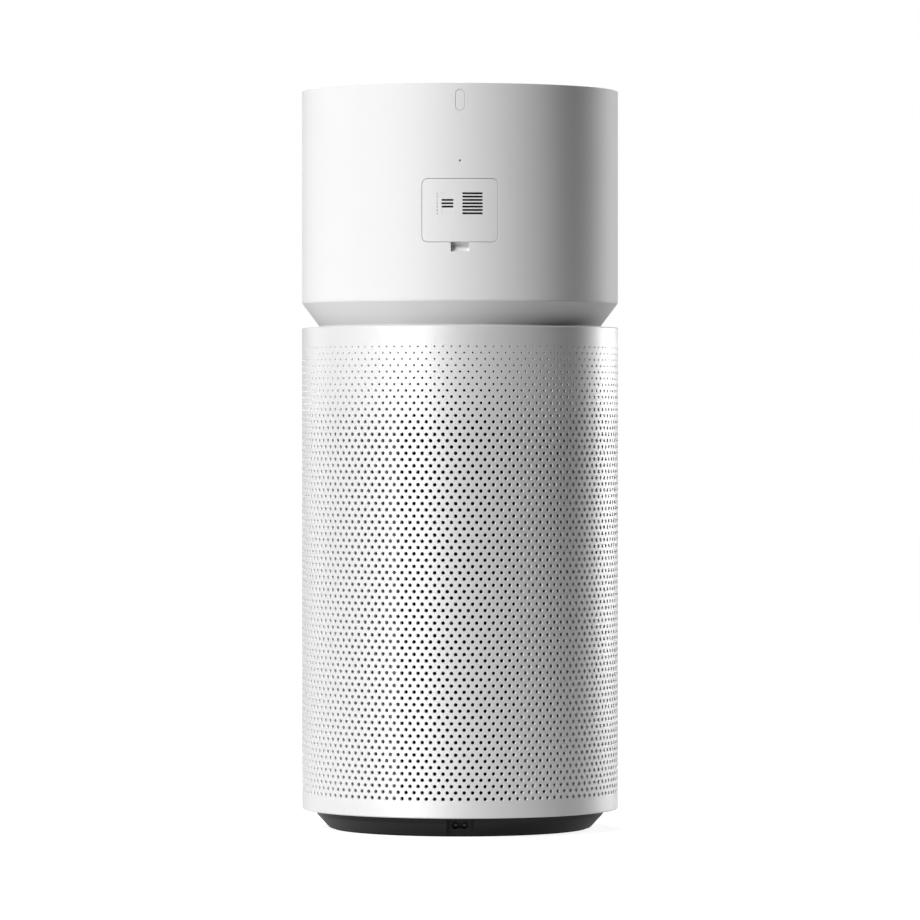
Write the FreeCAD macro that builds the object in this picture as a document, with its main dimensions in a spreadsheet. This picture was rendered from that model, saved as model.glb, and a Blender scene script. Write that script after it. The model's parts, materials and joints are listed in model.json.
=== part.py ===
import FreeCAD, Part
import math
import os
import re

import Sketcher

# Free-standing round air purifier: 308 mm across, 717 mm tall, on a black tray.
# Frame: millimetres, +Z up, origin on the floor under the middle of the machine.
# The front, with the display and the filter door, faces -Y. The rear, with the
# mains inlet, the sensor cover and the push button, faces +Y.

SIZES = [
    # outer envelope
    ("body_radius", 154.0, "outside radius of the lower shells and of the upper housing"),
    ("overall_height", 717.2, "floor to top rim"),
    ("shell_wall", 2.5, "wall of the perforated lower shells"),
    ("shell_low", 19.0, "lower edge of the lower shells"),
    ("shell_high", 487.3, "upper edge of the lower shells"),
    ("shell_lip_radius", 148.0, "inner edge of the lip at the top of the lower shells"),
    ("seam_gap", 0.5, "gap between the rear shell and the filter door"),
    ("cutter_reach", 20.0, "how far inside the outer wall a cutting shape starts"),
    ("cutter_length", 30.0, "length of a cutting shape that goes through the outer wall"),
    ("neck_radius", 137.2, "narrow end of the slanted neck"),
    ("neck_foot", 482.0, "underside of the neck"),
    ("neck_low", 489.0, "where the neck starts to widen"),
    ("housing_low", 511.7, "lower edge of the upper housing"),
    ("housing_wall", 3.0, "wall of the upper housing"),
    ("housing_edge", 0.8, "depth of the neck's top edge under the housing"),
    ("neck_inset", 0.3, "distance from the neck's top edge in to the outer wall"),
    ("neck_top_width", 8.0, "width of the neck's top face, from the outer wall in"),
    ("neck_rise", 5.0, "height of the neck's inner corner over its bend"),
    # perforated field of the lower shells, as windows of the same open area
    ("window_rows", 3.0, "windows one above the other"),
    ("window_columns", 9.0, "windows side by side on each half"),
    ("window_width", 14.5, "width of a window"),
    ("window_height", 125.0, "height of a window"),
    ("window_low", 40.0, "lower edge of the lowest windows"),
    ("window_pitch", 145.0, "step from one row of windows to the next"),
    # base
    ("foot_outer", 124.0, "outside radius of the rubber foot ring"),
    ("foot_inner", 112.0, "inside radius of the rubber foot ring"),
    ("tray_low", 1.2, "underside of the tray"),
    ("tray_edge_radius", 129.0, "tray radius just above its rounded lower edge"),
    ("tray_edge", 1.5, "size of the tray's lower edge"),
    ("tray_mid_radius", 139.0, "tray radius where its side gets steeper"),
    ("tray_mid", 13.4, "height where the tray's side gets steeper"),
    ("tray_rim_radius", 143.0, "tray radius at its rim"),
    ("tray_high", 21.0, "top of the tray"),
    ("tray_wall", 2.5, "wall and floor of the tray"),
    ("boss_wall", 1.5, "wall of a screw boss outside the screw's head"),
    ("notch_half", 13.0, "half width of the notch round the mains inlet"),
    ("notch_depth", 124.0, "distance from the axis to the back of the notch"),
    ("notch_high", 18.5, "roof of the notch"),
    ("inlet_half", 10.7, "half width of the mains inlet's body"),
    ("inlet_low", 5.2, "underside of the mains inlet"),
    ("inlet_high", 17.0, "top of the mains inlet"),
    ("inlet_face", 126.0, "outer face of the mains inlet"),
    ("inlet_length", 20.0, "depth of the mains inlet's body"),
    ("socket_radius", 3.75, "radius of each lobe of the figure-of-eight recess"),
    ("socket_depth", 12.0, "depth of the figure-of-eight recess"),
    ("socket_waist", 2.9, "half height of the recess between its lobes"),
    ("pin_spacing", 8.6, "distance between the two mains pins"),
    ("pin_radius", 1.2, "radius of a mains pin"),
    ("platform_radius", 148.0, "radius of the filter platform and of the upper deck"),
    ("platform_thick", 4.0, "thickness of the filter platform"),
    # inner frame
    ("post_inner", 133.0, "distance from the middle to a side post"),
    ("post_width", 14.0, "side post across"),
    ("post_front", 2.0, "front face of a side post"),
    ("post_depth", 20.0, "side post from front to rear"),
    ("post_wall", 2.0, "wall of a side post and of a rear rib"),
    ("rib_radius", 137.0, "distance from the axis to a rear rib"),
    ("rib_depth", 10.0, "rear rib along the radius"),
    ("rib_width", 13.5, "rear rib across"),
    ("rib_angle", 27.0, "rear ribs to each side of the rear middle, degrees"),
    ("deck_low", 478.0, "underside of the upper deck"),
    ("deck_thick", 4.0, "thickness of the upper deck"),
    ("throat_radius", 84.0, "inside radius of the bell mouth's throat"),
    ("throat_high", 506.0, "top of the bell mouth"),
    ("throat_flare", 16.0, "how far the bell mouth spreads out at the deck"),
    ("throat_round", 4.0, "how far the bell mouth stands out at half height"),
    ("throat_wall", 2.5, "wall of the bell mouth"),
    ("throat_curve", 1.5, "how far the bell mouth's inner face curves at half height"),
    # filter
    ("slide_gap", 0.3, "gap under and over the filter"),
    ("filter_radius", 124.0, "radius of the filter's end caps"),
    ("filter_core", 78.0, "radius of the filter's hollow core"),
    ("cap_thick", 5.0, "thickness of a filter end cap"),
    ("dust_screen_radius", 121.2, "outside radius of the filter's dust screen"),
    ("dust_screen_thick", 1.2, "thickness of the filter's dust screen"),
    ("carbon_thick", 5.0, "thickness of the carbon sleeve"),
    ("pleat_tips", 119.0, "radius of the pleats' outer folds"),
    ("pleat_count", 72.0, "number of pleats"),
    ("pleat_depth", 25.0, "depth of a pleat along the radius"),
    ("pleat_skin", 5.0, "thickness of the pleated sheet measured along the radius"),
    ("gasket_outer", 98.0, "outside radius of the filter's gasket"),
    ("gasket_thick", 7.5, "height of the filter's gasket"),
    ("pull_tab_half", 14.0, "half width of the filter's pull tab"),
    ("pull_tab_thick", 1.6, "thickness of the pull tab"),
    ("pull_tab_drop", 70.0, "length of the pull tab"),
    # magnets that hold the door
    ("magnet_radius", 4.0, "radius of a door magnet"),
    ("magnet_length", 3.0, "length of a door magnet"),
    ("magnet_x", 141.0, "distance from the middle to a door magnet"),
    ("magnet_low", 60.0, "height of the lower door magnets"),
    ("magnet_high", 440.0, "height of the upper door magnets"),
    ("holder_inner", 135.0, "inner side of a magnet holder"),
    ("holder_depth", 8.0, "magnet holder from front to rear"),
    ("holder_half", 9.0, "half height of a magnet holder"),
    ("plate_thick", 1.2, "thickness of a catch plate"),
    ("plate_half_width", 6.0, "half width of a catch plate"),
    ("plate_half_height", 8.0, "half height of a catch plate"),
    # fan
    ("duct_outer", 121.0, "outside radius of the fan duct"),
    ("duct_wall", 3.0, "wall of the fan duct"),
    ("duct_high", 700.0, "top of the fan duct"),
    ("wheel_radius", 108.0, "radius of the fan wheel"),
    ("wheel_low", 517.0, "underside of the fan wheel"),
    ("wheel_high", 569.0, "top of the fan wheel"),
    ("wheel_skin", 3.0, "thickness of the fan wheel's plates"),
    ("blade_count", 11.0, "number of blades on the fan wheel"),
    ("blade_curve", 60.0, "radius of a blade's curve"),
    ("blade_thick", 2.2, "thickness of a blade"),
    ("blade_sweep", 46.0, "length of a blade's curve, degrees"),
    ("blade_start", 62.0, "distance from the axis to a blade's inner end"),
    ("boss_radius", 11.0, "radius of the fan wheel's boss"),
    ("boss_low", 535.0, "underside of the fan wheel's boss"),
    ("shaft_radius", 3.0, "radius of the motor shaft"),
    ("shaft_low", 526.0, "lower end of the motor shaft"),
    ("shaft_high", 632.0, "upper end of the motor shaft"),
    ("shaft_play", 0.05, "running clearance round the shaft"),
    ("nut_radius", 6.0, "radius of the fan wheel's lock nut"),
    ("nut_thick", 5.0, "thickness of the fan wheel's lock nut"),
    ("hub_radius", 53.0, "outside radius of the diffuser's hub"),
    ("hub_wall", 2.5, "wall of the diffuser's hub"),
    ("hub_low", 580.0, "lower edge of the diffuser's hub"),
    ("hub_high", 645.0, "top of the diffuser's hub"),
    ("vane_count", 13.0, "number of diffuser vanes"),
    ("vane_thick", 2.2, "thickness of a diffuser vane"),
    ("vane_height", 40.0, "height of a diffuser vane"),
    ("vane_drop", 10.0, "distance from the diffuser hub's top down to its vanes"),
    ("vane_play", 0.1, "play between a diffuser vane and the duct"),
    ("mount_play", 1.5, "space between the motor mount and the shaft"),
    ("mount_screw_offset", 5.0, "motor screws outside half the motor's radius"),
    ("motor_radius", 37.0, "outside radius of the motor's can"),
    ("motor_low", 586.0, "underside of the motor"),
    ("motor_high", 628.0, "top of the motor"),
    ("motor_skin", 2.0, "wall of the motor's can"),
    ("core_inner", 20.0, "inside radius of the motor's wound core"),
    ("core_inset", 6.0, "space between the core and each end of the motor"),
    ("rotor_radius", 19.0, "outside radius of the motor's magnet rotor"),
    ("bearing_radius", 8.0, "outside radius of a bearing"),
    ("bearing_thick", 4.0, "thickness of a bearing"),
    # top
    ("outlet_radius", 120.2, "radius of the air outlet"),
    ("outlet_collar", 2.0, "wall of the collar round the outlet"),
    ("outlet_edge", 707.7, "top edge of the outlet's collar"),
    ("rim_radius", 147.8, "inner edge of the flat top rim"),
    ("rim_thick", 2.5, "thickness of the flat top rim"),
    ("rim_slope", 0.7, "how far the rim's lower corner stands out from its inner edge"),
    ("top_gap", 0.2, "gap between the fan duct and the top cover"),
    ("top_radius", 150.8, "outside radius of the top cover"),
    ("grille_radius", 119.7, "outside radius of the outlet grille"),
    ("grille_low", 700.5, "underside of the outlet grille"),
    ("grille_height", 5.5, "height of the outlet grille"),
    ("grille_ring", 3.0, "width of the grille's rings"),
    ("grille_hub", 34.0, "outside radius of the grille's hub ring"),
    ("grille_vanes", 60.0, "number of grille vanes"),
    ("grille_vane", 1.6, "thickness of a grille vane"),
    ("grille_hoop", 77.0, "radius of the grille's middle hoop"),
    # rear sensor cover
    ("cover_half", 36.0, "half width of the sensor cover"),
    ("cover_low", 566.6, "lower edge of the sensor cover"),
    ("cover_high", 626.3, "upper edge of the sensor cover"),
    ("cover_corner", 5.2, "corner radius of the sensor cover"),
    ("cover_thick", 2.2, "thickness of the sensor cover"),
    ("cover_gap", 0.4, "gap round the sensor cover"),
    ("slot_height", 1.8, "height of an air slot"),
    ("slot_pitch", 3.17, "step from one air slot to the next"),
    ("slot_low", 593.5, "middle of the lowest air slot"),
    ("wide_slots", 7.0, "number of wide air slots"),
    ("small_slots", 3.0, "number of small air slots"),
    ("small_slot_row", 2.0, "rows of wide slots below the small ones"),
    ("wide_slot_near", 2.2, "inner end of the wide air slots"),
    ("wide_slot_far", 21.9, "outer end of the wide air slots"),
    ("small_slot_near", 6.2, "inner end of the small air slots"),
    ("small_slot_far", 17.6, "outer end of the small air slots"),
    ("tab_x", 18.0, "distance from the middle to a cover tab"),
    ("tab_width", 5.0, "width of a cover tab"),
    ("tab_inner", 146.9, "inner face of a cover tab"),
    ("tab_thick", 1.8, "thickness of a cover tab"),
    ("tab_rise", 3.4, "height of a tab above the cover"),
    ("tab_overlap", 7.0, "length of a tab behind the cover"),
    ("tab_root_height", 4.5, "height of the root that joins a tab to the cover"),
    ("tab_root_depth", 2.8, "distance from the outer wall in to the end of a tab's root"),
    ("screen_low", 589.0, "lower edge of the cover's screen"),
    ("screen_high", 619.0, "upper edge of the cover's screen"),
    ("screen_thick", 2.2, "thickness of the cover's screen"),
    ("screen_margin", 3.0, "width of the screen beyond the slots, and its corner radius"),
    ("scoop_half", 8.75, "half width of the finger scoop"),
    ("scoop_low", 557.3, "lower edge of the finger scoop"),
    ("scoop_radius", 7.2, "radius of the finger scoop's floor"),
    ("scoop_centre", 153.0, "distance from the axis to the scoop's centre"),
    ("bay_half", 42.0, "half width of the sensor bay"),
    ("bay_rear", 128.0, "inner side of the sensor bay"),
    ("bay_low", 553.0, "underside of the sensor bay"),
    ("bay_high", 636.0, "top of the sensor bay"),
    ("bay_wall", 2.0, "wall of the sensor bay"),
    ("bay_floor", 572.5, "floor of the sensor bay"),
    ("bay_radius", 150.7, "outer face of the sensor bay"),
    ("sensor_width", 46.0, "width of the particle sensor"),
    ("sensor_height", 37.0, "height of the particle sensor"),
    ("sensor_thick", 12.0, "thickness of the particle sensor"),
    ("sensor_low", 580.0, "underside of the particle sensor"),
    ("port_depth", 3.0, "depth of the ports in the particle sensor's face"),
    ("fan_port_x", -10.0, "particle sensor's fan port to the side of the middle"),
    ("fan_port_radius", 8.0, "radius of the particle sensor's fan port"),
    ("inlet_port_x", 8.0, "near side of the particle sensor's inlet port"),
    ("inlet_port_rise", 12.0, "height of the inlet port over the sensor's underside"),
    ("inlet_port_width", 9.0, "width of the particle sensor's inlet port"),
    ("inlet_port_height", 12.0, "height of the particle sensor's inlet port"),
    ("gas_gap", 3.0, "space between the particle sensor and the gas sensor's card"),
    ("gas_rise", 12.0, "height of the gas sensor's card over the particle sensor's underside"),
    ("gas_width", 12.0, "width of the gas sensor's card"),
    ("gas_height", 18.0, "height of the gas sensor's card"),
    ("gas_chip_inset_x", 3.0, "gas sensor's chip from the side of its card"),
    ("gas_chip_inset_z", 5.0, "gas sensor's chip from the foot of its card"),
    ("gas_chip_size", 6.0, "width and height of the gas sensor's chip"),
    ("gas_chip_thick", 2.5, "thickness of the gas sensor's chip"),
    # push button, reset switch and boards
    ("button_half", 4.1, "half width of the push button"),
    ("button_low", 691.3, "lower end of the push button"),
    ("button_high", 710.9, "upper end of the push button"),
    ("button_gap", 0.25, "gap round the push button"),
    ("button_thick", 5.0, "thickness of the push button"),
    ("flange_reach", 1.5, "how far the button's flange stands out"),
    ("flange_radius", 150.4, "outer face of the button's flange"),
    ("flange_thick", 1.6, "thickness of the button's flange"),
    ("flange_margin", 4.0, "height of the button's blanks beyond the button, each way"),
    ("stem_radius", 2.0, "radius of the button's stem"),
    ("stem_end", 143.0, "inner end of the button's stem"),
    ("board_thick", 1.6, "thickness of a circuit board"),
    ("switch_board_face", 137.6, "outer face of the switch board"),
    ("switch_board_half", 12.0, "half width of the switch board"),
    ("switch_board_low", 686.0, "lower edge of the switch board"),
    ("switch_board_high", 709.0, "upper edge of the switch board"),
    ("switch_half", 3.0, "half width of a push switch"),
    ("switch_tip", 142.0, "tip of the button's switch"),
    ("main_board_face", 139.6, "outer face of the main board"),
    ("main_board_half", 40.0, "half width of the main board"),
    ("main_board_low", 638.0, "lower edge of the main board"),
    ("main_board_high", 682.0, "upper edge of the main board"),
    ("board_margin", 5.0, "distance from a board's upper or lower edge to its screws"),
    ("main_screw_inset", 12.0, "distance from the main board's side to its screws"),
    ("switch_screw_inset", 3.0, "distance from the switch board's side to its screws"),
    ("switch_screw_low", 4.0, "height of the switch board's lower screws over its edge"),
    ("switch_screw_high", 6.0, "depth of the switch board's upper screws under its edge"),
    ("bracket_drop", 3.0, "distance from the switch board's top down to the bracket's"),
    ("bracket_hole_play", 1.6, "space between the inner lead and the bracket"),
    ("processor_x", -20.0, "left side of the processor"),
    ("processor_rise", 20.0, "height of the processor over the main board's edge"),
    ("processor_size", 12.0, "width and height of the processor"),
    ("processor_thick", 1.5, "thickness of the processor"),
    ("radio_x", 6.0, "left side of the radio module"),
    ("radio_rise", 18.0, "height of the radio module over the main board's edge"),
    ("radio_width", 16.0, "width of the radio module"),
    ("radio_height", 20.0, "height of the radio module"),
    ("radio_thick", 2.5, "thickness of the radio module"),
    ("pinhole_radius", 0.9, "radius of the reset pinhole"),
    ("pinhole_height", 643.7, "height of the reset pinhole"),
    ("reset_tip", 145.0, "tip of the reset switch"),
    # front display
    ("display_height", 640.0, "height of the display's middle"),
    ("display_radius", 30.0, "radius of the display window"),
    ("bezel_radius", 33.0, "outside radius of the display bezel"),
    ("display_inner", 151.4, "inner face of the display window and bezel"),
    ("display_board_face", 146.0, "outer face of the display board"),
    ("display_board_half", 27.0, "half width and half height of the display board"),
    # power board and its lead
    ("power_board_half", 55.0, "half width of the power board"),
    ("power_board_rear", 100.0, "rear edge of the power board"),
    ("power_board_depth", 70.0, "power board from front to rear"),
    ("power_board_low", 8.0, "underside of the power board"),
    ("transformer_x", -12.0, "left side of the transformer"),
    ("transformer_back", 50.0, "front of the transformer from the power board's rear edge"),
    ("transformer_width", 26.0, "width of the transformer"),
    ("transformer_depth", 22.0, "transformer from front to rear"),
    ("transformer_height", 9.0, "height of the transformer"),
    ("heat_sink_x", -40.0, "left side of the heat sink"),
    ("heat_sink_back", 55.0, "front of the heat sink from the power board's rear edge"),
    ("heat_sink_width", 6.0, "width of the heat sink"),
    ("heat_sink_depth", 34.0, "heat sink from front to rear"),
    ("heat_sink_height", 9.0, "height of the heat sink"),
    ("lead_socket_x", 34.0, "left side of the inner lead's socket"),
    ("lead_socket_back", 15.0, "front of the inner lead's socket from the rear edge"),
    ("lead_socket_width", 12.0, "width of the inner lead's socket"),
    ("lead_socket_depth", 10.0, "inner lead's socket from front to rear"),
    ("lead_socket_height", 7.0, "height of the inner lead's socket"),
    ("mains_socket_x", -8.0, "left side of the board's mains socket"),
    ("mains_socket_back", 9.0, "front of the board's mains socket from the rear edge"),
    ("mains_socket_width", 16.0, "width of the board's mains socket"),
    ("mains_socket_depth", 8.0, "board's mains socket from front to rear"),
    ("mains_socket_height", 6.0, "height of the board's mains socket"),
    ("capacitor_x", 26.0, "capacitor to the side of the middle"),
    ("capacitor_back", 40.0, "capacitor from the power board's rear edge"),
    ("capacitor_radius", 4.0, "radius of the capacitor"),
    ("capacitor_height", 9.0, "height of the capacitor"),
    ("lead_radius", 2.4, "radius of the inner lead"),
    ("lead_x", 40.0, "inner lead to the side of the middle"),
    ("lead_y", 123.0, "inner lead's distance behind the middle"),
    ("lead_bend", 9.0, "bend radius of the inner lead"),
    ("lead_low", 13.5, "height of the inner lead's lower run"),
    ("lead_high", 660.0, "height of the inner lead's upper run"),
    ("lead_end", 5.0, "lower end of the inner lead from the power board's rear edge"),
    # screws
    ("screw_radius", 1.6, "radius of a screw's shank"),
    ("screw_head", 3.2, "radius of a screw's head"),
    ("screw_cap", 2.0, "height of a screw's head"),
    ("screw_length", 7.0, "length of a screw's shank"),
    ("deck_screw_ring", 143.0, "radius of the ring of deck and platform screws"),
]

VALUES = {name: value for name, value, note in SIZES}
WORD = re.compile(r"[a-z]\w*")
NEAR = "body_radius - cutter_reach"
REAR = FreeCAD.Rotation(FreeCAD.Vector(1, 0, 0), -90)
FRONT = FreeCAD.Rotation(FreeCAD.Vector(1, 0, 0), 90)
SIDEWAYS = FreeCAD.Rotation(FreeCAD.Vector(0, 1, 0), 90)
UPRIGHT = FreeCAD.Rotation()
Z_AXIS = FreeCAD.Vector(0, 0, 1)

doc = FreeCAD.newDocument("air_purifier")
sheet = doc.addObject("Spreadsheet::Sheet", "Sizes")


def fill_sheet():
    """Write one row per driving dimension: its note, and its value under an alias."""
    for row, (name, value, note) in enumerate(SIZES, start=1):
        sheet.set(f"A{row}", note)
        sheet.set(f"B{row}", str(value))
        sheet.setAlias(f"B{row}", name)
    doc.recompute()


# ---------------------------------------------------------------- helpers


def cells(text):
    """Point every cell's name in a formula at the sheet."""
    return WORD.sub(lambda word: "Sizes." + word.group() if word.group() in VALUES else word.group(), text)


def bind(item, formulas):
    """Bind properties of an object to formulas over the sheet's cells."""
    for path, text in formulas.items():
        item.setExpression(path, cells(text))
    return item


def put(item, spot, rotation=UPRIGHT):
    """Turn an object, then bind its position."""
    item.Placement = FreeCAD.Placement(FreeCAD.Vector(), rotation)
    return bind(item, {f"Placement.Base.{axis}": text for axis, text in zip("xyz", spot)})


def box(name, low, size):
    """A block from its lowest corner and its three lengths."""
    item = doc.addObject("Part::Box", name)
    bind(item, dict(zip(("Length", "Width", "Height"), size)))
    return put(item, low)


def cylinder(name, radius, length, start=("0", "0", "0"), rotation=UPRIGHT):
    """A cylinder that runs from its start along its turned Z axis."""
    item = doc.addObject("Part::Cylinder", name)
    bind(item, {"Radius": radius, "Height": length})
    return put(item, start, rotation)


def joined(kind, name, items):
    """Fuse several objects, or group them as separate solids."""
    item = doc.addObject(kind, name)
    if kind == "Part::Compound":
        item.Links = items
    else:
        item.Shapes = items
    return item


def fuse(name, items):
    return joined("Part::MultiFuse", name, items)


def group(name, items):
    return joined("Part::Compound", name, items)


def cut(name, base, tool):
    item = doc.addObject("Part::Cut", name)
    item.Base = base
    item.Tool = tool
    return item


def common(name, first, second):
    item = doc.addObject("Part::Common", name)
    item.Base = first
    item.Tool = second
    return item


def turned(name, item, angle):
    """The same object turned about the machine's axis by a formula in degrees."""
    copy = group(name, [item])
    copy.Placement = FreeCAD.Placement(FreeCAD.Vector(), FreeCAD.Rotation(Z_AXIS, 1))
    return bind(copy, {"Placement.Rotation.Angle": angle})


def polar(name, item, count):
    """Copies of an object, evenly spaced round the machine's axis."""
    total = int(VALUES[count])
    return [turned(f"{name}_{step}", item, f"360 / {count} * {step}") for step in range(total)]


def tube(name, outer, inner, low, height):
    """A round tube about the machine's axis."""
    outside = cylinder(f"{name}_outside", outer, height, ("0", "0", low))
    inside = cylinder(f"{name}_inside", inner, height, ("0", "0", low))
    return cut(f"{name}_tube", outside, inside)


def slab(name, half, low, high, corner, near, depth):
    """A block with rounded corners in X and Z, from near to near + depth along Y."""
    height = f"({high}) - ({low})"
    wide = box(
        f"{name}_wide",
        (f"-({half})", near, f"({low}) + ({corner})"),
        (f"2 * ({half})", depth, f"{height} - 2 * ({corner})"),
    )
    tall = box(
        f"{name}_tall",
        (f"({corner}) - ({half})", near, low),
        (f"2 * ({half}) - 2 * ({corner})", depth, height),
    )
    corners = [
        cylinder(
            f"{name}_corner",
            corner,
            depth,
            (f"{side} * (({half}) - ({corner}))", near, level),
            REAR,
        )
        for side in (-1, 1)
        for level in (f"({low}) + ({corner})", f"({high}) - ({corner})")
    ]
    return fuse(f"{name}_slab", [wide, tall] + corners)


def pill(name, half, low, high, near, depth):
    """An upright slot shape with round ends, from near to near + depth along Y."""
    middle = box(
        f"{name}_middle",
        (f"-({half})", near, f"({low}) + ({half})"),
        (f"2 * ({half})", depth, f"({high}) - ({low}) - 2 * ({half})"),
    )
    ends = [
        cylinder(f"{name}_end", half, depth, ("0", near, level), REAR)
        for level in (f"({low}) + ({half})", f"({high}) - ({half})")
    ]
    return fuse(f"{name}_pill", [middle] + ends)


def outline(body, plane_role, corners):
    """A closed sketch whose corners are bound to formulas over the sheet's cells."""
    sketch = body.newObject("Sketcher::SketchObject", body.Name + "_outline")
    plane = next(item for item in body.Origin.OriginFeatures if item.Role == plane_role)
    sketch.AttachmentSupport = [(plane, "")]
    sketch.MapMode = "FlatFace"
    total = len(corners)
    start = [
        FreeCAD.Vector(100 * math.cos(math.tau * step / total), 100 * math.sin(math.tau * step / total), 0)
        for step in range(total)
    ]
    for step in range(total):
        sketch.addGeometry(Part.LineSegment(start[step], start[(step + 1) % total]), False)
    for step in range(total):
        sketch.addConstraint(Sketcher.Constraint("Coincident", step, 2, (step + 1) % total, 1))
    for step, (across, along) in enumerate(corners):
        for kind, text in (("DistanceX", across), ("DistanceY", along)):
            place = sketch.addConstraint(Sketcher.Constraint(kind, -1, 1, step, 1, 100.0))
            sketch.setExpression(f"Constraints[{place}]", cells(text))
    return sketch


def revolved(name, corners):
    """A body turned about the machine's axis from (radius, height) corners."""
    body = doc.addObject("PartDesign::Body", name)
    sketch = outline(body, "XZ_Plane", corners)
    feature = body.newObject("PartDesign::Revolution", name + "_turn")
    feature.Profile = sketch
    feature.ReferenceAxis = (sketch, ["V_Axis"])
    feature.Angle = 360.0
    return body


def screws(name, spots, rotation=UPRIGHT):
    """Separate pan-head screws; each spot is where the head meets what it holds."""
    items = []
    for spot in spots:
        shank = doc.addObject("Part::Cylinder", name + "_shank")
        bind(shank, {"Radius": "screw_radius", "Height": "screw_length"})
        bind(shank, {"Placement.Base.z": "-screw_length"})
        head = doc.addObject("Part::Cylinder", name + "_head")
        bind(head, {"Radius": "screw_head", "Height": "screw_cap"})
        one = fuse(name + "_one", [shank, head])
        items.append(put(one, spot, rotation))
    return group(name, items)


# ---------------------------------------------------------------- base


def foot_ring():
    return tube("foot", "foot_outer", "foot_inner", "0", "tray_low")


PLATFORM_SCREW_ANGLES = (-4, 35, 145, 184)
PLATFORM_SCREW_RADIUS = "(filter_radius + post_inner + screw_radius) / 2"
BOARD_SCREW_SHARES = (0.1, 0.9)  # of the power board's depth
BOARD_CORNERS = [
    (f"{side} * (power_board_half - board_margin)", f"power_board_rear - power_board_depth * {share}")
    for side in (-1, 1)
    for share in BOARD_SCREW_SHARES
]


def ring_spot(radius, angle):
    """X and Y formulas of a point at an angle on a ring about the machine's axis."""
    turn = math.radians(angle)
    return f"({radius}) * {math.cos(turn):.6f}", f"({radius}) * {math.sin(turn):.6f}"


def tray_outline(name):
    """The tray's outer shape as a solid."""
    return revolved(
        name,
        [
            ("0", "tray_low"),
            ("tray_edge_radius - tray_edge", "tray_low"),
            ("tray_edge_radius", "tray_low + tray_edge"),
            ("tray_mid_radius", "tray_mid"),
            ("tray_rim_radius", "tray_high"),
            ("0", "tray_high"),
        ],
    )


def recess_block(name):
    """The stretch of the tray's edge that the inlet recess takes up."""
    return box(
        name,
        ("-(notch_half + tray_wall)", "notch_depth - tray_wall", "tray_low"),
        ("2 * (notch_half + tray_wall)", "body_radius - notch_depth", "tray_high - tray_low"),
    )


def tray_supports():
    """What stays solid inside the tray: screw bosses and board stand-offs."""
    bosses = [
        cylinder(
            "tray_boss",
            "screw_head + boss_wall",
            "tray_high - tray_low",
            (*ring_spot(PLATFORM_SCREW_RADIUS, angle), "tray_low"),
        )
        for angle in PLATFORM_SCREW_ANGLES
    ]
    stands = [
        cylinder("board_stand", "screw_head", "power_board_low - tray_low", (x, y, "tray_low"))
        for x, y in BOARD_CORNERS
    ]
    return fuse("tray_supports", bosses + stands)


def base_tray():
    inner = revolved(
        "tray_inner",
        [
            ("0", "tray_low + tray_wall"),
            ("tray_edge_radius - 1.5 * tray_wall", "tray_low + tray_wall"),
            ("tray_mid_radius - tray_wall", "tray_mid"),
            ("tray_rim_radius - tray_wall", "tray_high"),
            ("tray_rim_radius - tray_wall", "tray_high + 1"),
            ("0", "tray_high + 1"),
        ],
    )
    cavity = cut("tray_cavity", inner, tray_supports())
    openings = fuse("tray_openings", [cavity, recess_block("recess_gap")])
    return cut("tray", tray_outline("tray_outer"), openings)


def inlet_recess():
    """The moulded pocket in the tray's edge: roof, sides and back of the notch round the inlet."""
    notch = box(
        "recess_notch",
        ("-notch_half", "notch_depth", "0"),
        ("2 * notch_half", "body_radius - notch_depth", "notch_high"),
    )
    inlet_hole = box(
        "inlet_hole",
        ("-inlet_half", "notch_depth - tray_wall - 1", "inlet_low"),
        ("2 * inlet_half", "tray_wall + 2", "inlet_high - inlet_low"),
    )
    blank = common("recess_blank", tray_outline("recess_outer"), recess_block("recess_all"))
    return cut("recess", blank, fuse("recess_hollows", [notch, inlet_hole]))


INLET_MIDDLE = "(inlet_low + inlet_high) / 2"


def mains_inlet():
    block = box(
        "inlet_block",
        ("-inlet_half", "inlet_face - inlet_length", "inlet_low"),
        ("2 * inlet_half", "inlet_length", "inlet_high - inlet_low"),
    )
    floor = "inlet_face - socket_depth"
    lobes = [
        cylinder(
            "socket_lobe",
            "socket_radius",
            "socket_depth + 1",
            (f"{side} * pin_spacing / 2", floor, INLET_MIDDLE),
            REAR,
        )
        for side in (-1, 1)
    ]
    waist = box(
        "socket_waist",
        ("-pin_spacing / 2", floor, f"{INLET_MIDDLE} - socket_waist"),
        ("pin_spacing", "socket_depth + 1", "2 * socket_waist"),
    )
    return cut("inlet", block, fuse("inlet_socket", lobes + [waist]))


def inlet_pins():
    return group(
        "pins",
        [
            cylinder(
                "pin",
                "pin_radius",
                "socket_depth - 2",
                (f"{side} * pin_spacing / 2", "inlet_face - socket_depth", INLET_MIDDLE),
                REAR,
            )
            for side in (-1, 1)
        ],
    )


def power_board():
    top = "power_board_low + board_thick"
    rear = "power_board_rear"
    parts = [
        box(
            "power_sheet",
            ("-power_board_half", f"{rear} - power_board_depth", "power_board_low"),
            ("2 * power_board_half", "power_board_depth", "board_thick"),
        ),
        cylinder(
            "capacitor",
            "capacitor_radius",
            "capacitor_height",
            ("capacitor_x", f"{rear} - capacitor_back", top),
        ),
    ]
    for name in ("transformer", "heat_sink", "lead_socket", "mains_socket"):
        spot = (f"{name}_x", f"{rear} - {name}_back", top)
        parts.append(box(name, spot, (f"{name}_width", f"{name}_depth", f"{name}_height")))
    return fuse("power_board_all", parts)


def power_board_screws():
    return screws("power_screws", [(x, y, "power_board_low + board_thick") for x, y in BOARD_CORNERS])


def filter_platform():
    disc = cylinder("platform_disc", "platform_radius", "platform_thick", ("0", "0", "tray_high"))
    hole = cylinder(
        "platform_hole", "lead_radius + 1", "platform_thick", ("lead_x", "lead_y", "tray_high")
    )
    return cut("platform", disc, hole)


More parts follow.
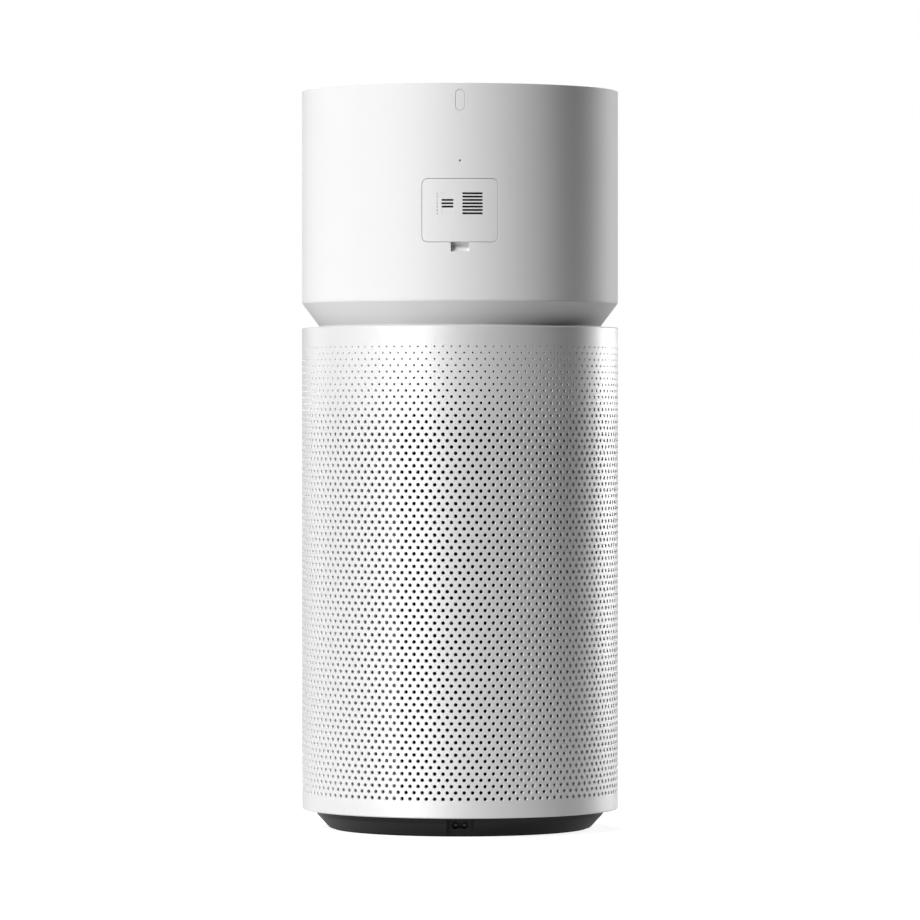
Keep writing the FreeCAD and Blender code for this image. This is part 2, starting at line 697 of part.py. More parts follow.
def platform_screws():
    top = "tray_high + platform_thick"
    return screws(
        "platform_fixings",
        [(*ring_spot(PLATFORM_SCREW_RADIUS, angle), top) for angle in PLATFORM_SCREW_ANGLES],
    )


# ---------------------------------------------------------------- frame and shells

FRAME_LOW = "tray_high + platform_thick"
FRAME_HEIGHT = "deck_low - tray_high - platform_thick"
END_BLOCK = "2 * screw_length"


def side_post(name, side):
    """An upright channel that opens outwards, solid at both ends."""
    near = "post_inner" if side > 0 else "-(post_inner + post_width)"
    hollow_near = "post_inner + post_wall" if side > 0 else "-(post_inner + post_width)"
    bar = box(f"{name}_bar", (near, "post_front", FRAME_LOW), ("post_width", "post_depth", FRAME_HEIGHT))
    hollow = box(
        f"{name}_hollow",
        (hollow_near, "post_front + post_wall", f"{FRAME_LOW} + {END_BLOCK}"),
        ("post_width - post_wall", "post_depth - 2 * post_wall", f"{FRAME_HEIGHT} - 2 * {END_BLOCK}"),
    )
    return cut(f"{name}_channel", bar, hollow)


def rear_rib(name, side):
    """A narrow upright channel between the filter and the rear shell."""
    bar = box(
        f"{name}_bar",
        ("-rib_width / 2", "rib_radius", FRAME_LOW),
        ("rib_width", "rib_depth", FRAME_HEIGHT),
    )
    hollow = box(
        f"{name}_hollow",
        ("post_wall - rib_width / 2", "rib_radius + post_wall", f"{FRAME_LOW} + {END_BLOCK}"),
        ("rib_width - 2 * post_wall", "rib_depth", f"{FRAME_HEIGHT} - 2 * {END_BLOCK}"),
    )
    return turned(f"{name}_turned", cut(f"{name}_channel", bar, hollow), f"{-side} * rib_angle")


def catch_plates():
    """Steel plates on the side posts that the door's magnets pull on."""
    return group(
        "plates",
        [
            box(
                "plate",
                (
                    f"{side} * magnet_x - plate_half_width",
                    "post_front - plate_thick",
                    f"{level} - plate_half_height",
                ),
                ("2 * plate_half_width", "plate_thick", "2 * plate_half_height"),
            )
            for side in (-1, 1)
            for level in ("magnet_low", "magnet_high")
        ],
    )


def windows(name):
    """Openings of one half shell, centred on +Y."""
    items = []
    step = 180 / VALUES["window_columns"]
    for row in range(int(VALUES["window_rows"])):
        window = box(
            f"{name}_window",
            ("-window_width / 2", NEAR, f"window_low + {row} * window_pitch"),
            ("window_width", "cutter_length", "window_height"),
        )
        for column in range(int(VALUES["window_columns"])):
            middle = (VALUES["window_columns"] - 1) / 2
            items.append(turned(f"{name}_opening", window, f"{(column - middle) * step}"))
    return items


def half_shell(name):
    """The half of the lower shell round +Y, with a lip that turns in at its top."""
    outer = cylinder(f"{name}_outer", "body_radius", "shell_high - shell_low", ("0", "0", "shell_low"))
    inner = cylinder(
        f"{name}_inner",
        "body_radius - shell_wall",
        "shell_high - shell_low - shell_wall",
        ("0", "0", "shell_low"),
    )
    mouth = cylinder(
        f"{name}_mouth", "shell_lip_radius", "2 * shell_wall", ("0", "0", "shell_high - 2 * shell_wall")
    )
    other_half = box(
        f"{name}_other_half",
        ("-body_radius - 1", "-body_radius - 1", "shell_low"),
        ("2 * body_radius + 2", "body_radius + 1 + seam_gap / 2", "shell_high - shell_low"),
    )
    openings = group(f"{name}_windows", windows(name))
    solid = cut(f"{name}_solid", outer, fuse(f"{name}_room", [inner, mouth, other_half]))
    return cut(f"{name}_half", solid, openings)


def rear_shell():
    return half_shell("rear_shell")


def magnet_spots(y):
    return [
        (f"{side} * magnet_x", y, level) for side in (-1, 1) for level in ("magnet_low", "magnet_high")
    ]


def front_shell():
    """The filter door: the front half shell with four magnet holders at its edges."""
    half = turned("door_half", half_shell("door_shell"), "180")
    blocks = [
        box(
            "magnet_holder",
            (
                "holder_inner" if side > 0 else "-body_radius",
                "-(seam_gap / 2 + holder_depth)",
                f"{level} - holder_half",
            ),
            ("body_radius - holder_inner", "holder_depth", "2 * holder_half"),
        )
        for side in (-1, 1)
        for level in ("magnet_low", "magnet_high")
    ]
    bound = cylinder("holder_bound", "body_radius - shell_wall / 2", "overall_height")
    holders = common("magnet_holders", group("holder_blocks", blocks), bound)
    pockets = [
        cylinder("magnet_pocket", "magnet_radius", "magnet_length", spot, FRONT)
        for spot in magnet_spots("-seam_gap / 2")
    ]
    return cut("door", fuse("door_blank", [half, holders]), group("magnet_pockets", pockets))


def door_magnets():
    return group(
        "magnets",
        [
            cylinder("magnet", "magnet_radius", "magnet_length", spot, FRONT)
            for spot in magnet_spots("-seam_gap / 2")
        ],
    )


def upper_deck():
    """The plate over the filter, with the bell mouth that leads air to the fan."""
    plate = revolved(
        "deck_plate",
        [
            ("throat_radius + throat_flare - deck_thick", "deck_low"),
            ("platform_radius", "deck_low"),
            ("platform_radius", "deck_low + deck_thick"),
            ("throat_radius + throat_flare", "deck_low + deck_thick"),
            ("throat_radius + throat_round", "(deck_low + throat_high + deck_thick) / 2"),
            ("throat_radius + throat_wall", "throat_high"),
            ("throat_radius", "throat_high"),
            ("throat_radius + throat_curve", "(deck_low + throat_high) / 2"),
        ],
    )
    hole = cylinder("deck_hole", "lead_radius + 1", "deck_thick", ("lead_x", "lead_y", "deck_low"))
    return cut("deck", plate, hole)


def deck_screws():
    top = "deck_low + deck_thick"
    post_x, post_y = "(post_inner + post_width / 2)", "post_front + post_depth / 2"
    spots = [(f"{side} * {post_x}", post_y, top) for side in (-1, 1)]
    for side in (-1, 1):
        x, y = ring_spot("rib_radius + rib_depth / 2", 90 - side * VALUES["rib_angle"])
        spots.append((x, y, top))
    return screws("deck_fixings", spots)


def neck_cone():
    return revolved(
        "neck",
        [
            ("neck_radius - shell_wall", "neck_foot"),
            ("neck_radius", "neck_foot"),
            ("neck_radius", "neck_low"),
            ("body_radius - neck_inset", "housing_low - housing_edge"),
            ("body_radius - neck_inset", "housing_low"),
            ("body_radius - neck_top_width", "housing_low"),
            ("neck_radius - shell_wall", "neck_low + neck_rise"),
        ],
    )


# ---------------------------------------------------------------- filter

FILTER_LOW = "tray_high + platform_thick + slide_gap"
CAP_TOP = "deck_low - slide_gap - gasket_thick"
MEDIA_LOW = f"{FILTER_LOW} + cap_thick"
MEDIA_HEIGHT = f"({CAP_TOP}) - cap_thick - ({MEDIA_LOW})"


def filter_base_cap():
    return cylinder("base_cap", "filter_radius", "cap_thick", ("0", "0", FILTER_LOW))


def filter_top_cap():
    return tube("top_cap", "filter_radius", "filter_core", f"{CAP_TOP} - cap_thick", "cap_thick")


def filter_gasket():
    return tube("gasket", "gasket_outer", "filter_core", CAP_TOP, "gasket_thick")


def dust_screen():
    inner = "dust_screen_radius - dust_screen_thick"
    return tube("screen", "dust_screen_radius", inner, MEDIA_LOW, MEDIA_HEIGHT)


def carbon_sleeve():
    return tube("carbon", "filter_core + carbon_thick", "filter_core", MEDIA_LOW, MEDIA_HEIGHT)


def pleat_wire(inset):
    """A closed zigzag whose folds lie on two circles, moved in by inset."""
    count = int(VALUES["pleat_count"])
    points = []
    for fold in range(2 * count):
        reach = VALUES["pleat_tips"] - inset - (fold % 2) * VALUES["pleat_depth"]
        turn = math.pi * fold / count
        points.append(FreeCAD.Vector(reach * math.cos(turn), reach * math.sin(turn), 0))
    return Part.makePolygon(points + points[:1])


def filter_pleats():
    """The pleated sheet, folded round the core; a zigzag of this many folds is not a sketch."""
    low = VALUES["tray_high"] + VALUES["platform_thick"] + VALUES["slide_gap"] + VALUES["cap_thick"]
    high = VALUES["deck_low"] - VALUES["slide_gap"] - VALUES["gasket_thick"] - VALUES["cap_thick"]
    sheet_face = Part.Face([pleat_wire(0), pleat_wire(VALUES["pleat_skin"])], "Part::FaceMakerBullseye")
    pleats = doc.addObject("Part::Feature", "pleats")
    pleats.Shape = sheet_face.extrude(FreeCAD.Vector(0, 0, high - low))
    pleats.Placement = FreeCAD.Placement(FreeCAD.Vector(0, 0, low), UPRIGHT)
    return pleats


def pull_tab():
    return box(
        "tab",
        ("-pull_tab_half", "-(filter_radius + pull_tab_thick)", f"{CAP_TOP} - 1 - pull_tab_drop"),
        ("2 * pull_tab_half", "pull_tab_thick", "pull_tab_drop"),
    )


# ---------------------------------------------------------------- fan and motor


def fan_duct():
    return revolved(
        "duct",
        [
            ("throat_radius", "throat_high"),
            ("duct_outer", "throat_high"),
            ("duct_outer", "duct_high"),
            ("duct_outer - duct_wall", "duct_high"),
            ("duct_outer - duct_wall", "throat_high + duct_wall"),
            ("throat_radius", "throat_high + duct_wall"),
        ],
    )


def blade():
    """One backward-curved blade, an arc that starts along the radius."""
    height = "wheel_high - wheel_low - 2 * wheel_skin"
    arcs = []
    for name, radius in (("blade_back", "blade_curve"), ("blade_face", "blade_curve - blade_thick")):
        arc = doc.addObject("Part::Cylinder", name)
        bind(arc, {"Radius": radius, "Height": height, "Angle": "blade_sweep"})
        lean = FreeCAD.Rotation(Z_AXIS, 90 - VALUES["blade_sweep"])
        arcs.append(put(arc, ("blade_start", "-blade_curve", "wheel_low + wheel_skin"), lean))
    return cut("blade_arc", *arcs)


def fan_wheel():
    plate = cylinder("wheel_plate", "wheel_radius", "wheel_skin", ("0", "0", "wheel_high - wheel_skin"))
    shroud = tube("wheel_shroud", "wheel_radius", "throat_radius + 2", "wheel_low", "wheel_skin")
    boss = cylinder("wheel_boss", "boss_radius", "wheel_high - boss_low", ("0", "0", "boss_low"))
    bore = cylinder("wheel_bore", "shaft_radius", "wheel_high - boss_low", ("0", "0", "boss_low"))
    blades = polar("wheel_blade", blade(), "blade_count")
    return cut("wheel", fuse("wheel_blank", [plate, shroud, boss] + blades), bore)


def motor_shaft():
    return cylinder("shaft", "shaft_radius", "shaft_high - shaft_low", ("0", "0", "shaft_low"))


def lock_nut():
    return tube("nut", "nut_radius", "shaft_radius", "boss_low - nut_thick", "nut_thick")


def rotor_magnet():
    low = "motor_low + core_inset + motor_skin"
    height = "motor_high - motor_low - 2 * (core_inset + motor_skin)"
    return tube("rotor", "rotor_radius", "shaft_radius", low, height)


def motor_can():
    can = cylinder("can_outside", "motor_radius", "motor_high - motor_low", ("0", "0", "motor_low"))
    room = cylinder(
        "can_inside",
        "motor_radius - motor_skin",
        "motor_high - motor_low - 2 * motor_skin",
        ("0", "0", "motor_low + motor_skin"),
    )
    seats = cylinder("can_seats", "bearing_radius", "motor_high - motor_low", ("0", "0", "motor_low"))
    return cut("can", can, fuse("can_room", [room, seats]))


def motor_core():
    return tube(
        "core",
        "motor_radius - motor_skin",
        "core_inner",
        "motor_low + core_inset",
        "motor_high - motor_low - 2 * core_inset",
    )


def bearing(name, low):
    return tube(name, "bearing_radius", "shaft_radius + shaft_play", low, "bearing_thick")


def lower_bearing():
    return bearing("bearing_below", "motor_low")


def upper_bearing():
    return bearing("bearing_above", "motor_high - bearing_thick")


def motor_mount():
    return tube("mount", "hub_radius - hub_wall", "shaft_radius + mount_play", "motor_high", "duct_wall")


MOTOR_SCREW_ANGLES = (90, 210, 330)


def motor_screws():
    top = "motor_high + duct_wall"
    ring = "motor_radius / 2 + mount_screw_offset"
    spots = [(*ring_spot(ring, angle), top) for angle in MOTOR_SCREW_ANGLES]
    return screws("motor_fixings", spots)


def diffuser():
    """The hub over the motor, and the vanes that straighten the air and carry the hub."""
    wall = tube("hub", "hub_radius", "hub_radius - hub_wall", "hub_low", "hub_high - hub_low")
    roof = cylinder("hub_roof", "hub_radius", "hub_wall", ("0", "0", "hub_high - hub_wall"))
    vane = box(
        "vane",
        ("-vane_thick / 2", "hub_radius - hub_wall / 2", "hub_high - vane_drop - vane_height"),
        ("vane_thick", "duct_outer - duct_wall - hub_radius + hub_wall / 2 - vane_play", "vane_height"),
    )
    return fuse("diffuser_all", [wall, roof] + polar("diffuser_vane", vane, "vane_count"))


# ---------------------------------------------------------------- upper housing and top


def round_opening(name, radius):
    """A cylinder through the front wall at the display's height."""
    return cylinder(name, radius, "body_radius", ("0", "0", "display_height"), FRONT)


def upper_housing():
    height = "overall_height - housing_low"
    wall = tube("housing", "body_radius", "body_radius - housing_wall", "housing_low", height)
    openings = [
        slab(
            "cover_opening",
            "cover_half + cover_gap",
            "cover_low - cover_gap",
            "cover_high + cover_gap",
            "cover_corner + cover_gap",
            NEAR,
            "cutter_length",
        ),
        box(
            "scoop_opening",
            ("-scoop_half", NEAR, "scoop_low"),
            ("2 * scoop_half", "cutter_length", "cover_low - scoop_low"),
        ),
        pill(
            "button_opening",
            "button_half + button_gap",
            "button_low - button_gap",
            "button_high + button_gap",
            NEAR,
            "cutter_length",
        ),
        cylinder("pinhole", "pinhole_radius", "cutter_length", ("0", NEAR, "pinhole_height"), REAR),
        round_opening("display_opening", "bezel_radius"),
    ]
    return cut("housing_wall", wall, fuse("housing_openings", openings))


def top_cover():
    """The sunken ring between the top rim and the air outlet."""
    low = "duct_high + top_gap"
    return revolved(
        "top",
        [
            ("outlet_radius", low),
            ("outlet_radius + outlet_collar", low),
            ("outlet_radius + outlet_collar", "outlet_edge - outlet_collar"),
            ("rim_radius + rim_slope", "overall_height - rim_thick"),
            ("top_radius", "overall_height - rim_thick"),
            ("top_radius", "overall_height"),
            ("rim_radius", "overall_height"),
            ("outlet_radius", "outlet_edge"),
        ],
    )


def outlet_grille():
    low = "grille_low"
    rings = [
        tube("grille_rim", "grille_radius", "grille_radius - grille_ring", low, "grille_height"),
        tube("grille_middle", "grille_hoop", "grille_hoop - grille_ring", low, "grille_height"),
        tube("grille_centre", "grille_hub", "grille_hub - grille_ring", low, "grille_height"),
    ]
    vane = box(
        "grille_vane",
        ("-grille_vane / 2", "grille_hub - 1", low),
        ("grille_vane", "grille_radius - grille_hub - grille_ring + 2", "grille_height"),
    )
    return fuse("grille", rings + polar("grille_blade", vane, "grille_vanes"))


def grille_cap():
    return cylinder("cap", "grille_hub - grille_ring", "grille_height - 1", ("0", "0", "grille_low"))


# ---------------------------------------------------------------- rear sensor cover and its bay


def cover_slots():
    """Wide air slots on one side of the cover, and three short ones on the other."""
    wide = [
        box(
            "wide_slot",
            ("-wide_slot_far", NEAR, f"slot_low + {row} * slot_pitch - slot_height / 2"),
            ("wide_slot_far - wide_slot_near", "cutter_length", "slot_height"),
        )
        for row in range(int(VALUES["wide_slots"]))
    ]
    small = [
        box(
            "small_slot",
            (
                "small_slot_near",
                NEAR,
                f"slot_low + (small_slot_row + {row}) * slot_pitch - slot_height / 2",
            ),
            ("small_slot_far - small_slot_near", "cutter_length", "slot_height"),
        )
        for row in range(int(VALUES["small_slots"]))
    ]
    return wide + small


def cover_tabs():
    """Two hooks behind the wall above the cover."""
    tabs = []
    for side in (-1, 1):
        x = f"{side} * tab_x - tab_width / 2"
        tabs.append(
            box(
                "tab_blade",
                (x, "tab_inner", "cover_high - tab_overlap"),
                ("tab_width", "tab_thick", "tab_overlap + tab_rise"),
            )
        )
        tabs.append(
            box(
                "tab_root",
                (x, "tab_inner", "cover_high - tab_overlap"),
                ("tab_width", "body_radius - tab_root_depth - tab_inner", "tab_root_height"),
            )
        )
    return tabs


def sensor_cover():
    height = "cover_high - cover_low + 2"
    wall = tube("cover", "body_radius", "body_radius - cover_thick", "cover_low - 1", height)
    shape = slab(
        "cover_outline", "cover_half", "cover_low", "cover_high", "cover_corner", NEAR, "cutter_length"
    )
    panel = cut("cover_panel", common("cover_blank", wall, shape), group("cover_slots", cover_slots()))
    return fuse("cover_all", [panel] + cover_tabs())


def cover_screen():
    wall = tube(
        "screen",
        "body_radius - cover_thick",
        "body_radius - cover_thick - screen_thick",
        "screen_low - 1",
        "screen_high - screen_low + 2",
    )
    shape = slab(
        "screen_outline",
        "wide_slot_far + screen_margin",
        "screen_low",
        "screen_high",
        "screen_margin",
        NEAR,
        "cutter_length",
    )
    return common("screen_sheet", wall, shape)


def sensor_bay():
    """A pocket behind the cover; its thick lower wall holds the finger scoop."""
    block = box(
        "bay_block",
        ("-bay_half", "bay_rear", "bay_low"),
        ("2 * bay_half", "body_radius - bay_rear", "bay_high - bay_low"),
    )
    bound = cylinder("bay_bound", "bay_radius", "bay_high - bay_low", ("0", "0", "bay_low"))
    room = box(
        "bay_room",
        ("bay_wall - bay_half", "bay_rear + bay_wall", "bay_floor"),
        ("2 * (bay_half - bay_wall)", "body_radius - bay_rear", "bay_high - bay_wall - bay_floor"),
    )
    scoop = cylinder(
        "scoop",
        "scoop_radius",
        "2 * scoop_half",
        ("-scoop_half", "scoop_centre", "scoop_low + scoop_radius"),
        SIDEWAYS,
    )
    return cut("bay", common("bay_blank", block, bound), fuse("bay_hollows", [room, scoop]))


def particle_sensor():
    low = "sensor_low"
    case = box(
        "sensor_case",
        ("-sensor_width / 2", "bay_rear + bay_wall", low),
        ("sensor_width", "sensor_thick", "sensor_height"),
    )
    face = "bay_rear + bay_wall + sensor_thick - port_depth"
    fan_spot = ("fan_port_x", face, f"{low} + sensor_height / 2")
    fan_port = cylinder("fan_port", "fan_port_radius", "port_depth + 1", fan_spot, REAR)
    inlet_port = box(
        "inlet_port",
        ("inlet_port_x", face, f"{low} + inlet_port_rise"),
        ("inlet_port_width", "port_depth + 1", "inlet_port_height"),
    )
    return cut("sensor", case, group("sensor_ports", [fan_port, inlet_port]))


def gas_sensor():
    back, side, foot = "bay_rear + bay_wall", "sensor_width / 2 + gas_gap", "sensor_low + gas_rise"
    card = box("gas_card", (side, back, foot), ("gas_width", "board_thick", "gas_height"))
    chip = box(
        "gas_chip",
        (f"{side} + gas_chip_inset_x", back, f"{foot} + gas_chip_inset_z"),
        ("gas_chip_size", "board_thick + gas_chip_thick", "gas_chip_size"),
    )
    return fuse("gas", [card, chip])


# ---------------------------------------------------------------- button, switches and boards

BUTTON_MIDDLE = "(button_low + button_high) / 2"
MAIN_CORNERS = [
    (f"{side} * (main_board_half - main_screw_inset)", level)
    for side in (-1, 1)
    for level in ("main_board_low + board_margin", "main_board_high - board_margin")
]
SWITCH_CORNERS = [
    (f"{side} * (switch_board_half - switch_screw_inset)", level)
    for side in (-1, 1)
    for level in ("switch_board_low + switch_screw_low", "switch_board_high - switch_screw_high")
]
BRACKET_FACE = "bay_rear + duct_wall"


def rear_button():
    low = "button_low - flange_margin"
    height = "button_high - button_low + 2 * flange_margin"
    face = tube("button", "body_radius", "body_radius - button_thick", low, height)
    face_shape = pill("button_shape", "button_half", "button_low", "button_high", NEAR, "cutter_length")
    flange = tube("flange", "flange_radius", "flange_radius - flange_thick", low, height)
    flange_shape = pill(
        "flange_shape",
        "button_half + flange_reach",
        "button_low - flange_reach",
        "button_high + flange_reach",
        NEAR,
        "cutter_length",
    )
    stem = cylinder(
        "button_stem", "stem_radius", "flange_radius - 1 - stem_end", ("0", "stem_end", BUTTON_MIDDLE), REAR
    )
    parts = [common("button_face", face, face_shape), common("button_flange", flange, flange_shape), stem]
    return fuse("button_all", parts)


def push_switch(name, board_face, tip, height):
    """A square push switch with a round tip, on the outer face of a board."""
    case = box(
        f"{name}_case",
        ("-switch_half", board_face, f"{height} - switch_half"),
        ("2 * switch_half", f"{tip} - 1 - {board_face}", "2 * switch_half"),
    )
    reach = f"{tip} - {board_face}"
    knob = cylinder(f"{name}_knob", "switch_half / 2", reach, ("0", board_face, height), REAR)
    return fuse(f"{name}_all", [case, knob])


def button_switch():
    return push_switch("button_switch", "switch_board_face", "switch_tip", BUTTON_MIDDLE)


def reset_switch():
    return push_switch("reset_switch", "main_board_face", "reset_tip", "pinhole_height")


def board_bracket():
    """The plate behind both circuit boards, with a stand-off for each screw."""
    plate = box(
        "bracket_plate",
        ("-bay_half", "bay_rear", "bay_high"),
        ("2 * bay_half", "duct_wall", "switch_board_high - bracket_drop - bay_high"),
    )
    stands = []
    for corners, face in ((MAIN_CORNERS, "main_board_face"), (SWITCH_CORNERS, "switch_board_face")):
        for x, z in corners:
            reach = f"{face} - board_thick - ({BRACKET_FACE})"
            stands.append(cylinder("bracket_stand", "screw_head", reach, (x, BRACKET_FACE, z), REAR))
    lead_hole = cylinder(
        "bracket_hole",
        "lead_radius + bracket_hole_play",
        "duct_wall",
        ("lead_x", "bay_rear", "lead_high"),
        REAR,
    )
    return cut("bracket", fuse("bracket_blank", [plate] + stands), lead_hole)


def board(name, half, low, high, face):
    size = (f"2 * {half}", "board_thick", f"{high} - {low}")
    return box(name, (f"-{half}", f"{face} - board_thick", low), size)


def main_board():
    card = board("main_card", "main_board_half", "main_board_low", "main_board_high", "main_board_face")
    chips = [
        box(
            "processor",
            ("processor_x", "main_board_face", "main_board_low + processor_rise"),
            ("processor_size", "processor_thick", "processor_size"),
        ),
        box(
            "radio",
            ("radio_x", "main_board_face", "main_board_low + radio_rise"),
            ("radio_width", "radio_thick", "radio_height"),
        ),
    ]
    return fuse("main_board_all", [card] + chips)


def switch_board():
    return board(
        "switch_card", "switch_board_half", "switch_board_low", "switch_board_high", "switch_board_face"
    )


def board_screws():
    spots = [(x, "main_board_face", z) for x, z in MAIN_CORNERS]
    spots += [(x, "switch_board_face", z) for x, z in SWITCH_CORNERS]
    return screws("board_fixings", spots, REAR)


def display_layer(name):
    """The stretch of wall that the display window and its bezel are taken from."""
    low = "display_height - bezel_radius - 1"
    return tube(name, "body_radius", "display_inner", low, "2 * bezel_radius + 2")


def display_window():
    return common("window", display_layer("window_layer"), round_opening("window_round", "display_radius"))


def display_bezel():
    outer = round_opening("bezel_out", "bezel_radius")
    ring = cut("bezel_ring", outer, round_opening("bezel_in", "display_radius"))
    return common("bezel", display_layer("bezel_layer"), ring)


def display_board():
    return box(
        "display_card",
        ("-display_board_half", "-display_board_face", "display_height - display_board_half"),
        ("2 * display_board_half", "board_thick", "2 * display_board_half"),
    )


def bend(name, spot, rotation):
    """A quarter bend of the inner lead about a turned Z axis."""
    item = doc.addObject("Part::Torus", name)
    item.Angle3 = 90
    bind(item, {"Radius1": "lead_bend", "Radius2": "lead_radius"})
    return put(item, spot, rotation)


def inner_lead():
    """The lead from the power board up behind the filter to the main board."""
    up_then_back = FreeCAD.Rotation(
        FreeCAD.Vector(0, -1, 0), FreeCAD.Vector(0, 0, 1), FreeCAD.Vector(-1, 0, 0), "XYZ"
    )
    start = "power_board_rear - lead_end"
    end = "main_board_face - board_thick"
    parts = [
        cylinder(
            "lead_low_run",
            "lead_radius",
            f"lead_y - lead_bend - ({start})",
            ("lead_x", start, "lead_low"),
            REAR,
        ),
        bend("lead_low_bend", ("lead_x", "lead_y - lead_bend", "lead_low + lead_bend"), SIDEWAYS),
        cylinder(
            "lead_rise",
            "lead_radius",
            "lead_high - lead_low - 2 * lead_bend",
            ("lead_x", "lead_y", "lead_low + lead_bend"),
        ),
        bend("lead_high_bend", ("lead_x", "lead_y + lead_bend", "lead_high - lead_bend"), up_then_back),
        cylinder(
            "lead_high_run",
            "lead_radius",
            f"{end} - lead_y - lead_bend",
            ("lead_x", "lead_y + lead_bend", "lead_high"),
            REAR,
        ),
    ]
    return fuse("lead", parts)


# ---------------------------------------------------------------- assembly

NODES = {
    "foot_ring": foot_ring,
    "base_tray": base_tray,
    "inlet_recess": inlet_recess,
    "mains_inlet": mains_inlet,
    "inlet_pins": inlet_pins,
    "power_board": power_board,
    "power_board_screws": power_board_screws,
    "filter_platform": filter_platform,
    "platform_screws": platform_screws,
    "side_post_left": lambda: side_post("left_post", -1),
    "side_post_right": lambda: side_post("right_post", 1),
    "rear_rib_left": lambda: rear_rib("left_rib", -1),
    "rear_rib_right": lambda: rear_rib("right_rib", 1),
    "catch_plates": catch_plates,
    "rear_shell": rear_shell,
    "upper_deck": upper_deck,
    "deck_screws": deck_screws,
    "neck_cone": neck_cone,
    "upper_housing": upper_housing,
    "top_cover": top_cover,
    "outlet_grille": outlet_grille,
    "grille_cap": grille_cap,
    "fan_duct": fan_duct,
    "diffuser": diffuser,
    "motor_mount": motor_mount,
    "motor_can": motor_can,
    "motor_core": motor_core,
    "lower_bearing": lower_bearing,
    "upper_bearing": upper_bearing,
    "motor_screws": motor_screws,
    "sensor_bay": sensor_bay,
    "particle_sensor": particle_sensor,
    "gas_sensor": gas_sensor,
    "board_bracket": board_bracket,
    "main_board": main_board,
    "reset_switch": reset_switch,
    "switch_board": switch_board,
    "button_switch": button_switch,
    "board_screws": board_screws,
    "display_window": display_window,
    "display_bezel": display_bezel,
    "display_board": display_board,
    "inner_lead": inner_lead,
    "front_shell": front_shell,
    "door_magnets": door_magnets,
    "filter_base_cap": filter_base_cap,
    "filter_top_cap": filter_top_cap,
    "filter_gasket": filter_gasket,
    "dust_screen": dust_screen,
    "carbon_sleeve": carbon_sleeve,
    "filter_pleats": filter_pleats,
    "pull_tab": pull_tab,
    "fan_wheel": fan_wheel,
    "motor_shaft": motor_shaft,
    "rotor_magnet": rotor_magnet,
    "lock_nut": lock_nut,
    "sensor_cover": sensor_cover,
    "cover_screen": cover_screen,
    "rear_button": rear_button,
}


def build():
    """Make every sub-part, check it and write it to its own file."""
    fill_sheet()
    subparts = {}
    for name, make in NODES.items():
        item = make()
        item.Label = name
        subparts[name] = item
    doc.recompute()
    failed = [item.Name for item in doc.Objects if {"Invalid", "Error"} & set(item.State)]
    if failed:
        raise RuntimeError(f"failed objects: {failed}")
    for name, item in subparts.items():
        if item.Label != name or item.Shape.isNull() or not item.Shape.isValid() or not item.Shape.Solids:
            raise RuntimeError(f"bad sub-part: {name}")
    os.makedirs("parts", exist_ok=True)
    for name, item in subparts.items():
        item.Shape.exportStep(f"parts/{name}.step")
        print(f"{name:20s} solids {len(item.Shape.Solids):2d}  volume {item.Shape.Volume / 1000:9.2f} cm3")


build()
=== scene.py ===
"""Looks of the round air purifier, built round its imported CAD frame. Metres; the rear faces +Y."""
import json
import math

import bmesh
import bpy
import numpy as np
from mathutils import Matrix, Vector
from mathutils.geometry import delaunay_2d_cdt


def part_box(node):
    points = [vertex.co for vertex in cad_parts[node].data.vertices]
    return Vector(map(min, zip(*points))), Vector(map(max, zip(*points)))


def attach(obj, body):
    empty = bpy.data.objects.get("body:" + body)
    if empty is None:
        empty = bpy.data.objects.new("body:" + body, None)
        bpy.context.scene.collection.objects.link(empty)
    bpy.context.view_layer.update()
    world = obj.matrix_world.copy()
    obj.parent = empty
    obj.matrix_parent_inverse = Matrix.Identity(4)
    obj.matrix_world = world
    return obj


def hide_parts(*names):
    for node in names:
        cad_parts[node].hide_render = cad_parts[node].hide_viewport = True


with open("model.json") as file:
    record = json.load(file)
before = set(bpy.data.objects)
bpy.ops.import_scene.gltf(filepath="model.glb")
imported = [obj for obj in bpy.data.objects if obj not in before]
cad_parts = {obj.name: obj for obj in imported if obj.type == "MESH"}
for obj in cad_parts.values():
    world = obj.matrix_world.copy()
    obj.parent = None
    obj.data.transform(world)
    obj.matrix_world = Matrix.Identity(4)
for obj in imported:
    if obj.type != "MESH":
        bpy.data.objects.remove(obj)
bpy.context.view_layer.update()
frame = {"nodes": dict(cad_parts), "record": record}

MM = 0.001

# ---------------------------------------------------------------- sizes, from the frame

SHELL_LOW, SHELL_HIGH = (corner.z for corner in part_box("rear_shell"))
HOUSING_LOW, HOUSING_HIGH = (corner.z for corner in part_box("upper_housing"))
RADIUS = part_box("upper_housing")[1].x
SHELL_WALL = 2.5 * MM
EDGE_ROUND = 1.2 * MM
SHELL_LIP = 148.0 * MM
HOUSING_WALL = 3.0 * MM
SEAM_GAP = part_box("rear_shell")[0].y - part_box("front_shell")[1].y
COVER_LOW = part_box("sensor_cover")[0].z
COVER_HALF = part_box("sensor_cover")[1].x
COVER_HEIGHT = 59.7 * MM
COVER_HIGH = COVER_LOW + COVER_HEIGHT
COVER_CORNER = 5.2 * MM
COVER_THICK = 2.2 * MM
COVER_GAP = 0.4 * MM
TOP_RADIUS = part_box("top_cover")[1].x
TRAY_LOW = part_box("base_tray")[0].z

